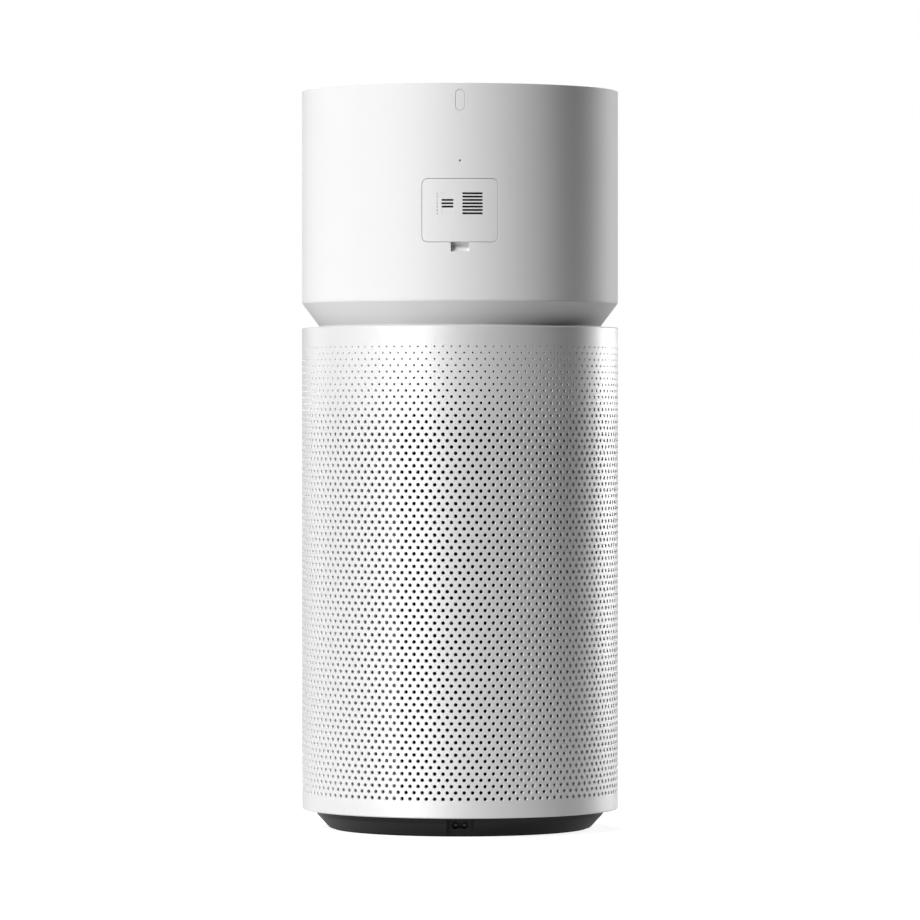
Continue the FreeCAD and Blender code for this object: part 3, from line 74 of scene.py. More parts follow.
# the field of round holes in the lower shell
HOLE_ROWS = 73
HOLES_ROUND = 120
ROW_STEP = 5.971 * MM
LAST_ROW = 37.5 * MM
HOLE_FULL = 1.90 * MM
HOLE_SMALL = 0.85 * MM
ROWS_TO_GROW = 14
HOLE_BEVEL = 0.3 * MM
HOLE_STEP = 4  # quarter columns from one hole of a row to the next
STRETCHES = {"high": (0, 23), "mid": (24, 47), "low": (48, HOLE_ROWS - 1)}  # first and last row
RIM_POINTS = 12  # points round one hole
COLUMNS_EACH_SIDE = HOLES_ROUND  # quarter columns from the middle of a half shell to its seam
QUARTER = math.tau / HOLES_ROUND / HOLE_STEP
SEAM_ANGLE = math.pi / 2 - math.asin(SEAM_GAP / 2 / RADIUS)

# how finely curves are divided
CORNER_STEPS = 4  # steps of a rounded corner
TURN_STEPS = 288  # steps of a turned piece
HOUSING_STEPS = 360  # steps of the upper housing's edges
BORDER_STEPS = 25  # steps of the line where the upper housing's sheet meets itself
EDGE_TURNS = (90, 67.5, 45, 22.5, 0)  # degrees along a sheet's rounded edge
LONGEST_STEP = 2.0 * MM  # along an opening's outline
LINE_CLEARANCE = 0.8 * MM  # least distance from a sheet's outlines to its inner points
COVER_MESH = 3.0 * MM
HOUSING_MESH_ACROSS, HOUSING_MESH_UP = 4.0 * MM, 8.0 * MM
SHARP_ANGLE = math.radians(40)
ON_SKIN = 1e-5  # how near a point is to the round skin to be shaded as part of it
SAME_POINT = 1e-7
ROUND_SLACK = 0.01 * MM  # straight run left between the two arcs of a round end
BLOCK_CHAMFER, HOOK_CHAMFER = 0.6 * MM, 0.3 * MM

# the rear cover's slots and hooks
COVER_EDGE = 0.2 * MM
SLOT_ROWS = 7
SMALL_ROWS = (2, 3, 4)
SLOT_LOW = 593.5 * MM
SLOT_PITCH = 3.17 * MM
SLOT_HEIGHT = 1.8 * MM
WIDE_NEAR, WIDE_FAR = 2.2 * MM, 21.9 * MM
SMALL_NEAR, SMALL_FAR = 6.2 * MM, 17.6 * MM
DOT_NEAR, DOT_FAR = 3.1 * MM, 21.5 * MM
DOT_RADIUS = 0.5 * MM
DOT_DEPTH = 2.0 * MM
GROOVE_DEPTH = 0.12 * MM
TAB_X, TAB_HALF = 18.0 * MM, 2.5 * MM
TAB_INNER, TAB_THICK = 146.9 * MM, 1.8 * MM
TAB_OVERLAP, TAB_ROOT_HEIGHT = 7.0 * MM, 4.5 * MM
TAB_ROOT_END = RADIUS - 1.5 * MM

# the upper housing's openings, and the neck under it
HOUSING_EDGE = 0.3 * MM
SCOOP_HALF, SCOOP_LOW = 8.75 * MM, 557.3 * MM
SCOOP_CORNER = 0.8 * MM
BUTTON_HALF, BUTTON_GAP, FLANGE = 4.1 * MM, 0.25 * MM, 1.5 * MM
PINHOLE_RADIUS, PINHOLE_HEIGHT = 0.9 * MM, 643.7 * MM
NECK_RADIUS, NECK_LOW, NECK_RISE = 137.2 * MM, 489.0 * MM, 5.0 * MM
NECK_TOP, NECK_INSET, NECK_EDGE = 8.0 * MM, 0.3 * MM, 0.8 * MM
NECK_BEND = 2.0 * MM
SHARP_ROUND, SOFT_ROUND = 0.2 * MM, 0.4 * MM  # of the neck's and the top's edges

# the sunken top ring
OUTLET_RADIUS, COLLAR, OUTLET_EDGE = 120.2 * MM, 2.0 * MM, 707.7 * MM
RIM_RADIUS, RIM_THICK, RIM_SLOPE = 147.8 * MM, 2.5 * MM, 0.7 * MM
RIM_ROUND, RING_BEND, OUTLET_ROUND = 1.0 * MM, 4.0 * MM, 0.6 * MM

# the filter's dust screen; its threads are counted on this radius
SCREEN_RADIUS = 120.0 * MM

# the blocks round the filter door's magnets
MAGNET_LEVELS = (60.0 * MM, 440.0 * MM)
HOLDER_INNER, HOLDER_OUTER = 135.0 * MM, 151.7 * MM
HOLDER_DEPTH, HOLDER_HALF, HOLDER_SETBACK = 8.0 * MM, 9.0 * MM, 0.2 * MM

# ---------------------------------------------------------------- camera and light

EYE_HEIGHT = 392.2 * MM
EYE_DISTANCE = 5.5
LOOK_DOWN = math.radians(0.35)
FOCAL_SHARE = 6.1266  # focal length over the picture's width
SENSOR_WIDTH = 36.0
MIDDLE = (HOUSING_HIGH + TRAY_LOW) / 2

# name, (degrees round the machine, distance, height), height aimed at, (width, height), power
SOFTBOXES = (
    ("key", (41, 5.0, 3.5), MIDDLE, (1.8, 1.8), 252),
    ("strip", (32, 4.6, MIDDLE), MIDDLE, (1.0, 2.2), 40),
    ("side", (80, 3.6, 1.2), MIDDLE, (2.0, 2.2), 17),
    ("left_edge", (125, 3.4, 1.0), MIDDLE, (0.7, 2.0), 16),
    ("edge", (-130, 3.4, 0.9), MIDDLE, (0.8, 2.0), 70),
    ("front", (172, 4.2, 3.4), MIDDLE, (2.0, 2.0), 110),
    ("low", (35, 2.6, 0.06), 0.55, (1.6, 0.6), 16),
    ("top", (0, 0.0, 3.4), 0.7, (1.2, 1.2), 4),
)
WORLD_STRENGTH = 0.015
FLOOR_HALF = 14.0


def make_camera():
    """A long lens level with the machine's middle, behind it."""
    data = bpy.data.cameras.new("camera")
    data.sensor_width = SENSOR_WIDTH
    data.lens = FOCAL_SHARE * data.sensor_width
    data.clip_start, data.clip_end = 0.1, 60.0
    camera = bpy.data.objects.new("camera", data)
    camera.location = (0.0, EYE_DISTANCE, EYE_HEIGHT)
    camera.rotation_euler = (math.pi / 2 - LOOK_DOWN, 0.0, math.pi)
    bpy.context.scene.collection.objects.link(camera)
    bpy.context.scene.camera = camera


def softbox(name, place, target, size, power):
    """A rectangular area light at place that faces target."""
    data = bpy.data.lights.new(name, "AREA")
    data.shape = "RECTANGLE"
    data.size, data.size_y = size
    data.energy = power
    light = bpy.data.objects.new(name, data)
    light.location = place
    light.rotation_euler = (Vector(target) - Vector(place)).to_track_quat("-Z", "Y").to_euler()
    bpy.context.scene.collection.objects.link(light)


def round_place(angle, distance, height):
    """A place round the machine; 0 degrees is behind it at +Y, and positive is towards +X."""
    turn = math.radians(angle)
    return (distance * math.sin(turn), distance * math.cos(turn), height)


def make_lights():
    """The studio's soft lights, each aimed at a height on the machine's axis."""
    for name, place, aim, size, power in SOFTBOXES:
        softbox(name, round_place(*place), (0.0, 0.0, aim), size, power)


def make_world():
    """A white surround to look at, and a weak one to be lit by."""
    world = bpy.data.worlds.new("studio")
    world.use_nodes = True
    nodes, links = world.node_tree.nodes, world.node_tree.links
    nodes.clear()
    seen, lit = nodes.new("ShaderNodeBackground"), nodes.new("ShaderNodeBackground")
    seen.inputs["Color"].default_value = (1.0, 1.0, 1.0, 1.0)
    lit.inputs["Color"].default_value = (0.95, 0.97, 1.0, 1.0)
    lit.inputs["Strength"].default_value = WORLD_STRENGTH
    path, mix = nodes.new("ShaderNodeLightPath"), nodes.new("ShaderNodeMixShader")
    out = nodes.new("ShaderNodeOutputWorld")
    links.new(path.outputs["Is Camera Ray"], mix.inputs["Fac"])
    links.new(lit.outputs["Background"], mix.inputs[1])
    links.new(seen.outputs["Background"], mix.inputs[2])
    links.new(mix.outputs["Shader"], out.inputs["Surface"])
    bpy.context.scene.world = world
    bpy.context.scene.view_settings.view_transform = "Standard"


def make_floor():
    """A pale floor that lights the machine weakly and looks white, with a faint shadow close to the foot."""
    mesh = bpy.data.meshes.new("floor")
    sides = ((-1, -1), (1, -1), (1, 1), (-1, 1))
    corners = [(FLOOR_HALF * across, FLOOR_HALF * along, 0) for across, along in sides]
    mesh.from_pydata(corners, [], [(0, 1, 2, 3)])
    floor = bpy.data.objects.new("floor", mesh)
    bpy.context.scene.collection.objects.link(floor)
    material = bpy.data.materials.new("studio_floor")
    material.use_nodes = True
    nodes, links = material.node_tree.nodes, material.node_tree.links
    shader = nodes["Principled BSDF"]
    shader.inputs["Roughness"].default_value = 0.9
    shader.inputs["Specular IOR Level"].default_value = 0.1
    path, glow = nodes.new("ShaderNodeLightPath"), nodes.new("ShaderNodeEmission")
    place, reach = nodes.new("ShaderNodeTexCoord"), nodes.new("ShaderNodeVectorMath")
    reach.operation = "LENGTH"
    links.new(place.outputs["Object"], reach.inputs[0])

    def fade(near, far, start, end):
        """A value that goes from start to end between two distances from the machine."""
        node = nodes.new("ShaderNodeMapRange")
        for name, value in (("From Min", near), ("From Max", far), ("To Min", start), ("To Max", end)):
            node.inputs[name].default_value = value
        links.new(reach.outputs["Value"], node.inputs["Value"])
        return node.outputs["Result"]

    links.new(fade(0.5, 1.4, 0.45, 0.05), shader.inputs["Base Color"])
    strength, add = nodes.new("ShaderNodeMix"), nodes.new("ShaderNodeAddShader")
    links.new(path.outputs["Is Camera Ray"], strength.inputs["Factor"])
    links.new(fade(0.4, 1.2, 0.16, 0.0), strength.inputs["A"])
    links.new(fade(0.2, 0.9, 0.86, 1.0), strength.inputs["B"])
    links.new(strength.outputs["Result"], glow.inputs["Strength"])
    links.new(shader.outputs["BSDF"], add.inputs[0])
    links.new(glow.outputs["Emission"], add.inputs[1])
    links.new(add.outputs["Shader"], nodes["Material Output"].inputs["Surface"])
    mesh.materials.append(material)


# ---------------------------------------------------------------- materials


def plain_material(name, colour, roughness, metallic=0.0, coat=0.0):
    """A material and its shader, with the values that are the same all over."""
    material = bpy.data.materials.new(name)
    material.use_nodes = True
    shader = material.node_tree.nodes["Principled BSDF"]
    shader.inputs["Base Color"].default_value = (*colour, 1.0)
    shader.inputs["Roughness"].default_value = roughness
    shader.inputs["Metallic"].default_value = metallic
    shader.inputs["Coat Weight"].default_value = coat
    return material, shader


def grained(
    name, colour, roughness, grain=900.0, bump=0.12, depth=0.04 * MM, spread=0.05, mottle=0.03, **extra
):
    """Moulded plastic or paint: a fine grain in its surface, uneven gloss and slightly uneven colour."""
    material, shader = plain_material(name, colour, roughness, **extra)
    nodes, links = material.node_tree.nodes, material.node_tree.links
    place = nodes.new("ShaderNodeTexCoord")
    fine = nodes.new("ShaderNodeTexNoise")
    fine.inputs["Scale"].default_value = grain
    fine.inputs["Detail"].default_value = 3.0
    broad = nodes.new("ShaderNodeTexNoise")
    broad.inputs["Scale"].default_value = 9.0
    broad.inputs["Detail"].default_value = 4.0
    for noise in (fine, broad):
        links.new(place.outputs["Object"], noise.inputs["Vector"])
    raised = nodes.new("ShaderNodeBump")
    raised.inputs["Strength"].default_value = bump
    raised.inputs["Distance"].default_value = depth
    links.new(fine.outputs["Fac"], raised.inputs["Height"])
    links.new(raised.outputs["Normal"], shader.inputs["Normal"])
    gloss = nodes.new("ShaderNodeMapRange")
    gloss.inputs["To Min"].default_value = max(roughness - spread, 0.02)
    gloss.inputs["To Max"].default_value = min(roughness + spread, 1.0)
    links.new(broad.outputs["Fac"], gloss.inputs["Value"])
    links.new(gloss.outputs["Result"], shader.inputs["Roughness"])
    tint = nodes.new("ShaderNodeMix")
    tint.data_type = "RGBA"
    tint.inputs["A"].default_value = (*[part * (1 - mottle) for part in colour], 1.0)
    tint.inputs["B"].default_value = (*[min(part * (1 + mottle), 1.0) for part in colour], 1.0)
    both = nodes.new("ShaderNodeMath")
    both.operation = "MULTIPLY_ADD"
    both.inputs[1].default_value = 0.5
    links.new(fine.outputs["Fac"], both.inputs[0])
    links.new(broad.outputs["Fac"], both.inputs[2])
    links.new(both.outputs["Value"], tint.inputs["Factor"])
    links.new(tint.outputs["Result"], shader.inputs["Base Color"])
    return material


def brushed(name, colour, roughness, stretch=(400.0, 400.0, 12.0)):
    """Metal with fine scratches along one direction."""
    material, shader = plain_material(name, colour, roughness, metallic=1.0)
    nodes, links = material.node_tree.nodes, material.node_tree.links
    place, scale = nodes.new("ShaderNodeTexCoord"), nodes.new("ShaderNodeMapping")
    scale.inputs["Scale"].default_value = stretch
    noise, raised = nodes.new("ShaderNodeTexNoise"), nodes.new("ShaderNodeBump")
    noise.inputs["Scale"].default_value = 4.0
    noise.inputs["Detail"].default_value = 5.0
    raised.inputs["Strength"].default_value = 0.15
    raised.inputs["Distance"].default_value = 0.05 * MM
    gloss = nodes.new("ShaderNodeMapRange")
    gloss.inputs["To Min"].default_value = roughness * 0.7
    gloss.inputs["To Max"].default_value = min(roughness * 1.4, 1.0)
    links.new(place.outputs["Object"], scale.inputs["Vector"])
    links.new(scale.outputs["Vector"], noise.inputs["Vector"])
    links.new(noise.outputs["Fac"], raised.inputs["Height"])
    links.new(noise.outputs["Fac"], gloss.inputs["Value"])
    links.new(raised.outputs["Normal"], shader.inputs["Normal"])
    links.new(gloss.outputs["Result"], shader.inputs["Roughness"])
    return material


def screened(name, dark, light, pitch):
    """A moulded mesh wrapped round the machine's axis: threads that cross along and around it."""
    material, shader = plain_material(name, dark, 0.75)
    nodes, links = material.node_tree.nodes, material.node_tree.links

    def worked_out(operation, *inputs):
        node = nodes.new("ShaderNodeMath")
        node.operation = operation
        for socket, value in zip(node.inputs, inputs):
            if isinstance(value, float):
                socket.default_value = value
            else:
                links.new(value, socket)
        return node.outputs["Value"]

    place, split = nodes.new("ShaderNodeTexCoord"), nodes.new("ShaderNodeSeparateXYZ")
    links.new(place.outputs["Object"], split.inputs["Vector"])
    around = worked_out("ARCTAN2", split.outputs["X"], split.outputs["Y"])
    threads_round = float(round(math.tau * SCREEN_RADIUS / pitch))
    upright = worked_out("SINE", worked_out("MULTIPLY", around, threads_round))
    level = worked_out("SINE", worked_out("MULTIPLY", split.outputs["Z"], math.tau / pitch))
    weave = worked_out("MAXIMUM", upright, level)
    share = nodes.new("ShaderNodeMapRange")
    share.inputs["From Min"].default_value = 0.2
    links.new(weave, share.inputs["Value"])
    tint = nodes.new("ShaderNodeMix")
    tint.data_type = "RGBA"
    tint.inputs["A"].default_value = (*dark, 1.0)
    tint.inputs["B"].default_value = (*light, 1.0)
    raised = nodes.new("ShaderNodeBump")
    raised.inputs["Strength"].default_value = 0.6
    raised.inputs["Distance"].default_value = 0.3 * MM
    links.new(share.outputs["Result"], tint.inputs["Factor"])
    links.new(share.outputs["Result"], raised.inputs["Height"])
    links.new(tint.outputs["Result"], shader.inputs["Base Color"])
    links.new(raised.outputs["Normal"], shader.inputs["Normal"])
    return material


def make_materials():
    """One material for each of the record's slots."""
    return {
        "housing_white": grained("housing_white", (0.82, 0.82, 0.82), 0.60, 450.0, 0.35, 0.10 * MM),
        "shell_white": grained(
            "shell_white", (0.84, 0.84, 0.84), 0.50, 700.0, 0.04, 0.03 * MM, 0.03, 0.01, metallic=0.30
        ),
        "grille_grey": grained("grille_grey", (0.26, 0.26, 0.27), 0.42),
        "black_plastic": grained("black_plastic", (0.006, 0.006, 0.006), 0.32, 800.0, 0.10),
        "inner_plastic": grained("inner_plastic", (0.05, 0.05, 0.053), 0.55),
        "frame_plastic": grained("frame_plastic", (0.60, 0.60, 0.60), 0.50),
        "wheel_plastic": grained("wheel_plastic", (0.16, 0.17, 0.18), 0.45),
        "circuit_board": grained("circuit_board", (0.02, 0.13, 0.06), 0.35, 300.0, 0.2),
        "switch_black": grained("switch_black", (0.02, 0.02, 0.02), 0.45),
        "screw_steel": brushed("screw_steel", (0.55, 0.55, 0.56), 0.35),
        "motor_steel": brushed("motor_steel", (0.48, 0.48, 0.49), 0.38, (300.0, 300.0, 300.0)),
        "bearing_steel": brushed("bearing_steel", (0.68, 0.68, 0.70), 0.15),
        "winding_copper": brushed("winding_copper", (0.60, 0.27, 0.13), 0.40, (60.0, 60.0, 900.0)),
        "magnet_grey": brushed("magnet_grey", (0.20, 0.20, 0.21), 0.45, (200.0, 200.0, 200.0)),
        "brass": brushed("brass", (0.72, 0.52, 0.22), 0.30),
        "plated_pin": brushed("plated_pin", (0.10, 0.10, 0.10), 0.45),
        "rubber": grained("rubber", (0.016, 0.016, 0.016), 0.80, 500.0, 0.3, 0.1 * MM),
        "gasket_rubber": grained("gasket_rubber", (0.03, 0.03, 0.03), 0.70, 500.0, 0.3, 0.1 * MM),
        "filter_plastic": grained("filter_plastic", (0.42, 0.42, 0.43), 0.50),
        "screen_plastic": screened("screen_plastic", (0.002, 0.002, 0.002), (0.012, 0.012, 0.013), 1.6 * MM),
        "carbon": grained("carbon", (0.012, 0.012, 0.012), 0.85, 600.0, 0.8, 0.4 * MM, mottle=0.4),
        "pleat_paper": grained("pleat_paper", (0.74, 0.74, 0.71), 0.85, 1200.0, 0.4, 0.1 * MM),
        "tab_rubber": grained("tab_rubber", (0.17, 0.18, 0.20), 0.60, 700.0, 0.2, 0.08 * MM),
        "display_black": grained("display_black", (0.006, 0.006, 0.007), 0.08, 200.0, 0.01, coat=1.0),
        "bezel_metal": brushed("bezel_metal", (0.62, 0.62, 0.63), 0.28),
    }


# ---------------------------------------------------------------- mesh helpers


def add_piece(name, points, faces, slot, body, replaced=(), round_skin=None):
    """A mesh piece that rides on a body; faces that lie on the round skin are shaded as truly round."""
    mesh = bpy.data.meshes.new(name)
    mesh.from_pydata(points, [], faces)
    mesh.polygons.foreach_set("use_smooth", np.ones(len(mesh.polygons), dtype=bool))
    mesh.set_sharp_from_angle(angle=SHARP_ANGLE)
    if round_skin:
        shade_round(mesh, round_skin)
    mesh.materials.append(MATERIALS[slot])
    piece = bpy.data.objects.new(name, mesh)
    bpy.context.scene.collection.objects.link(piece)
    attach(piece, body)
    if replaced:
        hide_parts(*replaced)


def shade_round(mesh, radius):
    """Gives every face that lies on the cylinder of that radius the cylinder's own normals."""
    spots = np.zeros(len(mesh.vertices) * 3)
    mesh.vertices.foreach_get("co", spots)
    spots = spots.reshape(-1, 3)
    reach = np.hypot(spots[:, 0], spots[:, 1])
    on_skin = np.abs(reach - radius) < ON_SKIN
    corners = np.zeros(len(mesh.loops), dtype=int)
    mesh.loops.foreach_get("vertex_index", corners)
    totals = np.zeros(len(mesh.polygons), dtype=int)
    mesh.polygons.foreach_get("loop_total", totals)
    face_of = np.repeat(np.arange(len(totals)), totals)
    held = np.bincount(face_of, weights=on_skin[corners]) == totals
    round_corner = held[face_of]
    normals = np.zeros(len(mesh.loops) * 3)
    mesh.corner_normals.foreach_get("vector", normals)
    normals = normals.reshape(-1, 3)
    outward = np.column_stack([spots[:, 0] / reach, spots[:, 1] / reach, np.zeros(len(reach))])
    normals[round_corner] = outward[corners][round_corner]
    mesh.normals_split_custom_set(normals)


def rounded(corners):
    """An outline through (across, up, radius) corners, each with a radius rounded by an arc."""
    outline = []
    total = len(corners)
    for index, (across, up, radius) in enumerate(corners):
        here = Vector((across, up))
        if radius <= 0:
            outline.append((across, up))
            continue
        before = (Vector(corners[index - 1][:2]) - here).normalized()
        after = (Vector(corners[(index + 1) % total][:2]) - here).normalized()
        half = before.angle(after) / 2
        centre = here + (before + after).normalized() * radius / math.sin(half)
        start = here + before * radius / math.tan(half) - centre
        sweep = math.pi - 2 * half
        if before.x * after.y - before.y * after.x > 0:
            sweep = -sweep
        for step in range(CORNER_STEPS + 1):
            turn = sweep * step / CORNER_STEPS
            spoke = Vector(
                (
                    start.x * math.cos(turn) - start.y * math.sin(turn),
                    start.x * math.sin(turn) + start.y * math.cos(turn),
                )
            )
            outline.append(tuple(centre + spoke))
    return outline


def round_point(radius, angle, height):
    """The point at an angle round the machine; 0 is the rear at +Y, and positive turns towards +X."""
    return (radius * math.sin(angle), radius * math.cos(angle), height)


def turned_piece(name, corners, slot, body, replaced):
    """A closed outline of (radius, height, corner radius) corners, turned about the machine's axis.

    The outline runs upwards on its outer side.
    """
    outline = rounded(corners)
    rows = len(outline)
    points = [
        round_point(radius, math.tau * column / TURN_STEPS, height)
        for column in range(TURN_STEPS)
        for radius, height in outline
    ]
    faces = []
    for column in range(TURN_STEPS):
        here, beside = column * rows, (column + 1) % TURN_STEPS * rows
        for row in range(rows):
            above = (row + 1) % rows
            faces.append((here + row, here + above, beside + above, beside + row))
    add_piece(name, points, faces, slot, body, replaced)


# ---------------------------------------------------------------- perforated lower shells


def hole_radius(row):
    """Row 0 is the top row; the holes grow over the first rows and then stay the same."""
    return HOLE_SMALL + (HOLE_FULL - HOLE_SMALL) * min(row / ROWS_TO_GROW, 1.0)


def level_height(level):
    """Height of a half row: level 2 * row + 1 runs through the middle of that row's holes."""
    return LAST_ROW + (HOLE_ROWS - (level + 1) / 2) * ROW_STEP


class ShellMesh:
    """Points and faces of one stretch of a half shell, between two levels of its field of holes."""

    def __init__(self, turn):
        self.turn = turn
        self.points = []
        self.faces = []
        self.known = {}

    def point(self, angle, height, radius):
        at = max(-SEAM_ANGLE, min(SEAM_ANGLE, angle)) + self.turn
        self.points.append(round_point(radius, at, height))
        return len(self.points) - 1

    def grid(self, column, level, radius):
        """The shared point where a quarter column crosses a level."""
        key = (column, level, radius)
        if key not in self.known:
            self.known[key] = self.point(column * QUARTER, level_height(level), radius)
        return self.known[key]

    def cell(self, column, row):
        """One hole with the wall around it: outer skin, bevelled rim, bore and inner skin."""
        middle, size = column * QUARTER, hole_radius(row)
        height, level = level_height(2 * row + 1), 2 * row + 1
        round_cell = [(2, 0), (2, -1), (1, -1), (0, -1), (-1, -1), (-2, -1)]
        round_cell += [(-x, -y) for x, y in round_cell]
        rings = [[self.grid(column + x, level + y, RADIUS) for x, y in round_cell]]
        bevel = HOLE_BEVEL * size / HOLE_FULL / 2
        for reach, radius in (
            (size + bevel, RADIUS),
            (size - bevel, RADIUS - HOLE_BEVEL),
            (size - bevel, RADIUS - SHELL_WALL),
        ):
            ring = []
            for step in range(RIM_POINTS):
                turn = math.tau * step / RIM_POINTS
                angle = middle + reach * math.cos(turn) / RADIUS
                ring.append(self.point(angle, height + reach * math.sin(turn), radius))
            rings.append(ring)
        rings.append([self.grid(column + x, level + y, RADIUS - SHELL_WALL) for x, y in round_cell])
        for wide, narrow in zip(rings, rings[1:]):
            for step in range(RIM_POINTS):
                after = (step + 1) % RIM_POINTS
                self.faces.append((wide[step], narrow[step], narrow[after], wide[after]))

    def plain_end(self, side, row):
        """The half cell without a hole at one end of a row."""
        for radius, outward in ((RADIUS, 1), (RADIUS - SHELL_WALL, -1)):
            low, middle, high = 2 * row + 2, 2 * row + 1, 2 * row
            first, second, last = (side * (COLUMNS_EACH_SIDE - step) for step in (2, 1, 0))
            faces = [
                [(first, low), (first, middle), (first, high), (second, high), (second, low)],
                [(second, low), (second, high), (last, high), (last, middle), (last, low)],
            ]
            for face in faces:
                corners = [self.grid(column, level, radius) for column, level in face]
                self.faces.append(corners[:: side * outward])

    def field(self, first_row, last_row):
        """The rows of holes from first_row down to last_row, with the walls along both seams."""
        ends = COLUMNS_EACH_SIDE
        for row in range(first_row, last_row + 1):
            offset = 0 if row % 2 == 0 else HOLE_STEP // 2
            for column in range(HOLE_STEP * (-ends // HOLE_STEP) + offset, ends, HOLE_STEP):
                if abs(column) <= ends - HOLE_STEP // 2:
                    self.cell(column, row)
            if offset == 0:
                self.plain_end(1, row)
                self.plain_end(-1, row)
            for level in (2 * row, 2 * row + 1):
                for side in (1, -1):
                    face = [
                        self.grid(side * ends, level + 1, RADIUS - SHELL_WALL),
                        self.grid(side * ends, level + 1, RADIUS),
                        self.grid(side * ends, level, RADIUS),
                        self.grid(side * ends, level, RADIUS - SHELL_WALL),
                    ]
                    self.faces.append(face[::side])

    def cut_end(self, level, upward):
        """Closes the wall where this stretch meets the next one."""
        inner = RADIUS - SHELL_WALL
        for column in range(-COLUMNS_EACH_SIDE, COLUMNS_EACH_SIDE):
            face = [
                self.grid(column, level, inner),
                self.grid(column + 1, level, inner),
                self.grid(column + 1, level, RADIUS),
                self.grid(column, level, RADIUS),
            ]
            self.faces.append(face if upward else face[::-1])

    def edge(self, level, chain, first_skin, last_skin):
        """A plain edge band: a chain of (radius, height) between the two skins, swept along the shell."""
        before = None
        for column in range(-COLUMNS_EACH_SIDE, COLUMNS_EACH_SIDE + 1):
            here = [self.grid(column, level, first_skin)]
            here += [self.point(column * QUARTER, height, radius) for radius, height in chain]
            here.append(self.grid(column, level, last_skin))
            if before:
                for row in range(len(here) - 1):
                    self.faces.append((before[row], before[row + 1], here[row + 1], here[row]))
            else:
                self.faces.append(here[::-1])
            before = here
        self.faces.append(before)


def shell_stretch(name, slot, body, turn, replaced, first_row, last_row):
    """A stretch of a half shell; the first one carries the upper lip and the last one the lower edge."""
    shell = ShellMesh(turn)
    shell.field(first_row, last_row)
    inner = RADIUS - SHELL_WALL
    if first_row == 0:
        lip = [
            (RADIUS, SHELL_HIGH, EDGE_ROUND),
            (SHELL_LIP, SHELL_HIGH, EDGE_ROUND / 3),
            (SHELL_LIP, SHELL_HIGH - SHELL_WALL, EDGE_ROUND / 3),
            (inner, SHELL_HIGH - SHELL_WALL, 0),
        ]
        start, end = (RADIUS, level_height(0), 0), (inner, level_height(0), 0)
        shell.edge(0, rounded([start, *lip, end])[1:-1], RADIUS, inner)
    else:
        shell.cut_end(2 * first_row, True)
    last_level = 2 * last_row + 2
    if last_row == HOLE_ROWS - 1:
        foot = [(inner, SHELL_LOW, EDGE_ROUND / 3), (RADIUS, SHELL_LOW, EDGE_ROUND)]
        start, end = (inner, level_height(last_level), 0), (RADIUS, level_height(last_level), 0)
        shell.edge(last_level, rounded([start, *foot, end])[1:-1], inner, RADIUS)
    else:
        shell.cut_end(last_level, False)
    add_piece(name, shell.points, shell.faces, slot, body, [replaced], round_skin=RADIUS)


def lower_shells():
    """Both half shells, each in three stretches that meet between two rows of holes."""
    halves = {"rear_shell": ("root", 0.0), "front_shell": ("filter_door", math.pi)}
    for node, (body, turn) in halves.items():
        for part, (first_row, last_row) in STRETCHES.items():
            shell_stretch(f"{node}_{part}", "shell_white", body, turn, node, first_row, last_row)


# ---------------------------------------------------------------- skins that wrap round the machine


def grown_outline(corners, grow):
    """The points of an outline; `corners` gives its rounded corners for any amount of growth."""
    base = rounded(corners(0.0))
    shape = rounded(corners(grow))
    points = []
    for index, here in enumerate(base):
        after = (index + 1) % len(base)
        parts = max(1, math.ceil(math.dist(here, base[after]) / LONGEST_STEP))
        for part in range(parts):
            share = part / parts
            points.append(tuple(a + (b - a) * share for a, b in zip(shape[index], shape[after])))
    return points


def panel_corners(left, right, low, high, corner):
    """A rectangle with round corners that can grow on all sides."""

    def corners(grow):
        radius = corner + grow
        return [
            (left - grow, low - grow, radius),
            (right + grow, low - grow, radius),
            (right + grow, high + grow, radius),
            (left - grow, high + grow, radius),
        ]

    return corners


def inside(points, outline):
    """Which of the points lie inside a closed outline."""
    held = np.zeros(len(points), dtype=bool)
    across, up = points[:, 0], points[:, 1]
    for (ax, ay), (bx, by) in zip(outline, outline[1:] + outline[:1]):
        if ay != by:
            crosses = (ay > up) != (by > up)
            held ^= crosses & (across < (bx - ax) * (up - ay) / (by - ay) + ax)
    return held


def at_rear(across):
    """Distance round the skin of a point at x on the rear."""
    return RADIUS * math.asin(across / RADIUS)


def at_front(across):
    """Distance round the skin of a point at x on the front."""
    return RADIUS * (math.pi - math.asin(across / RADIUS))


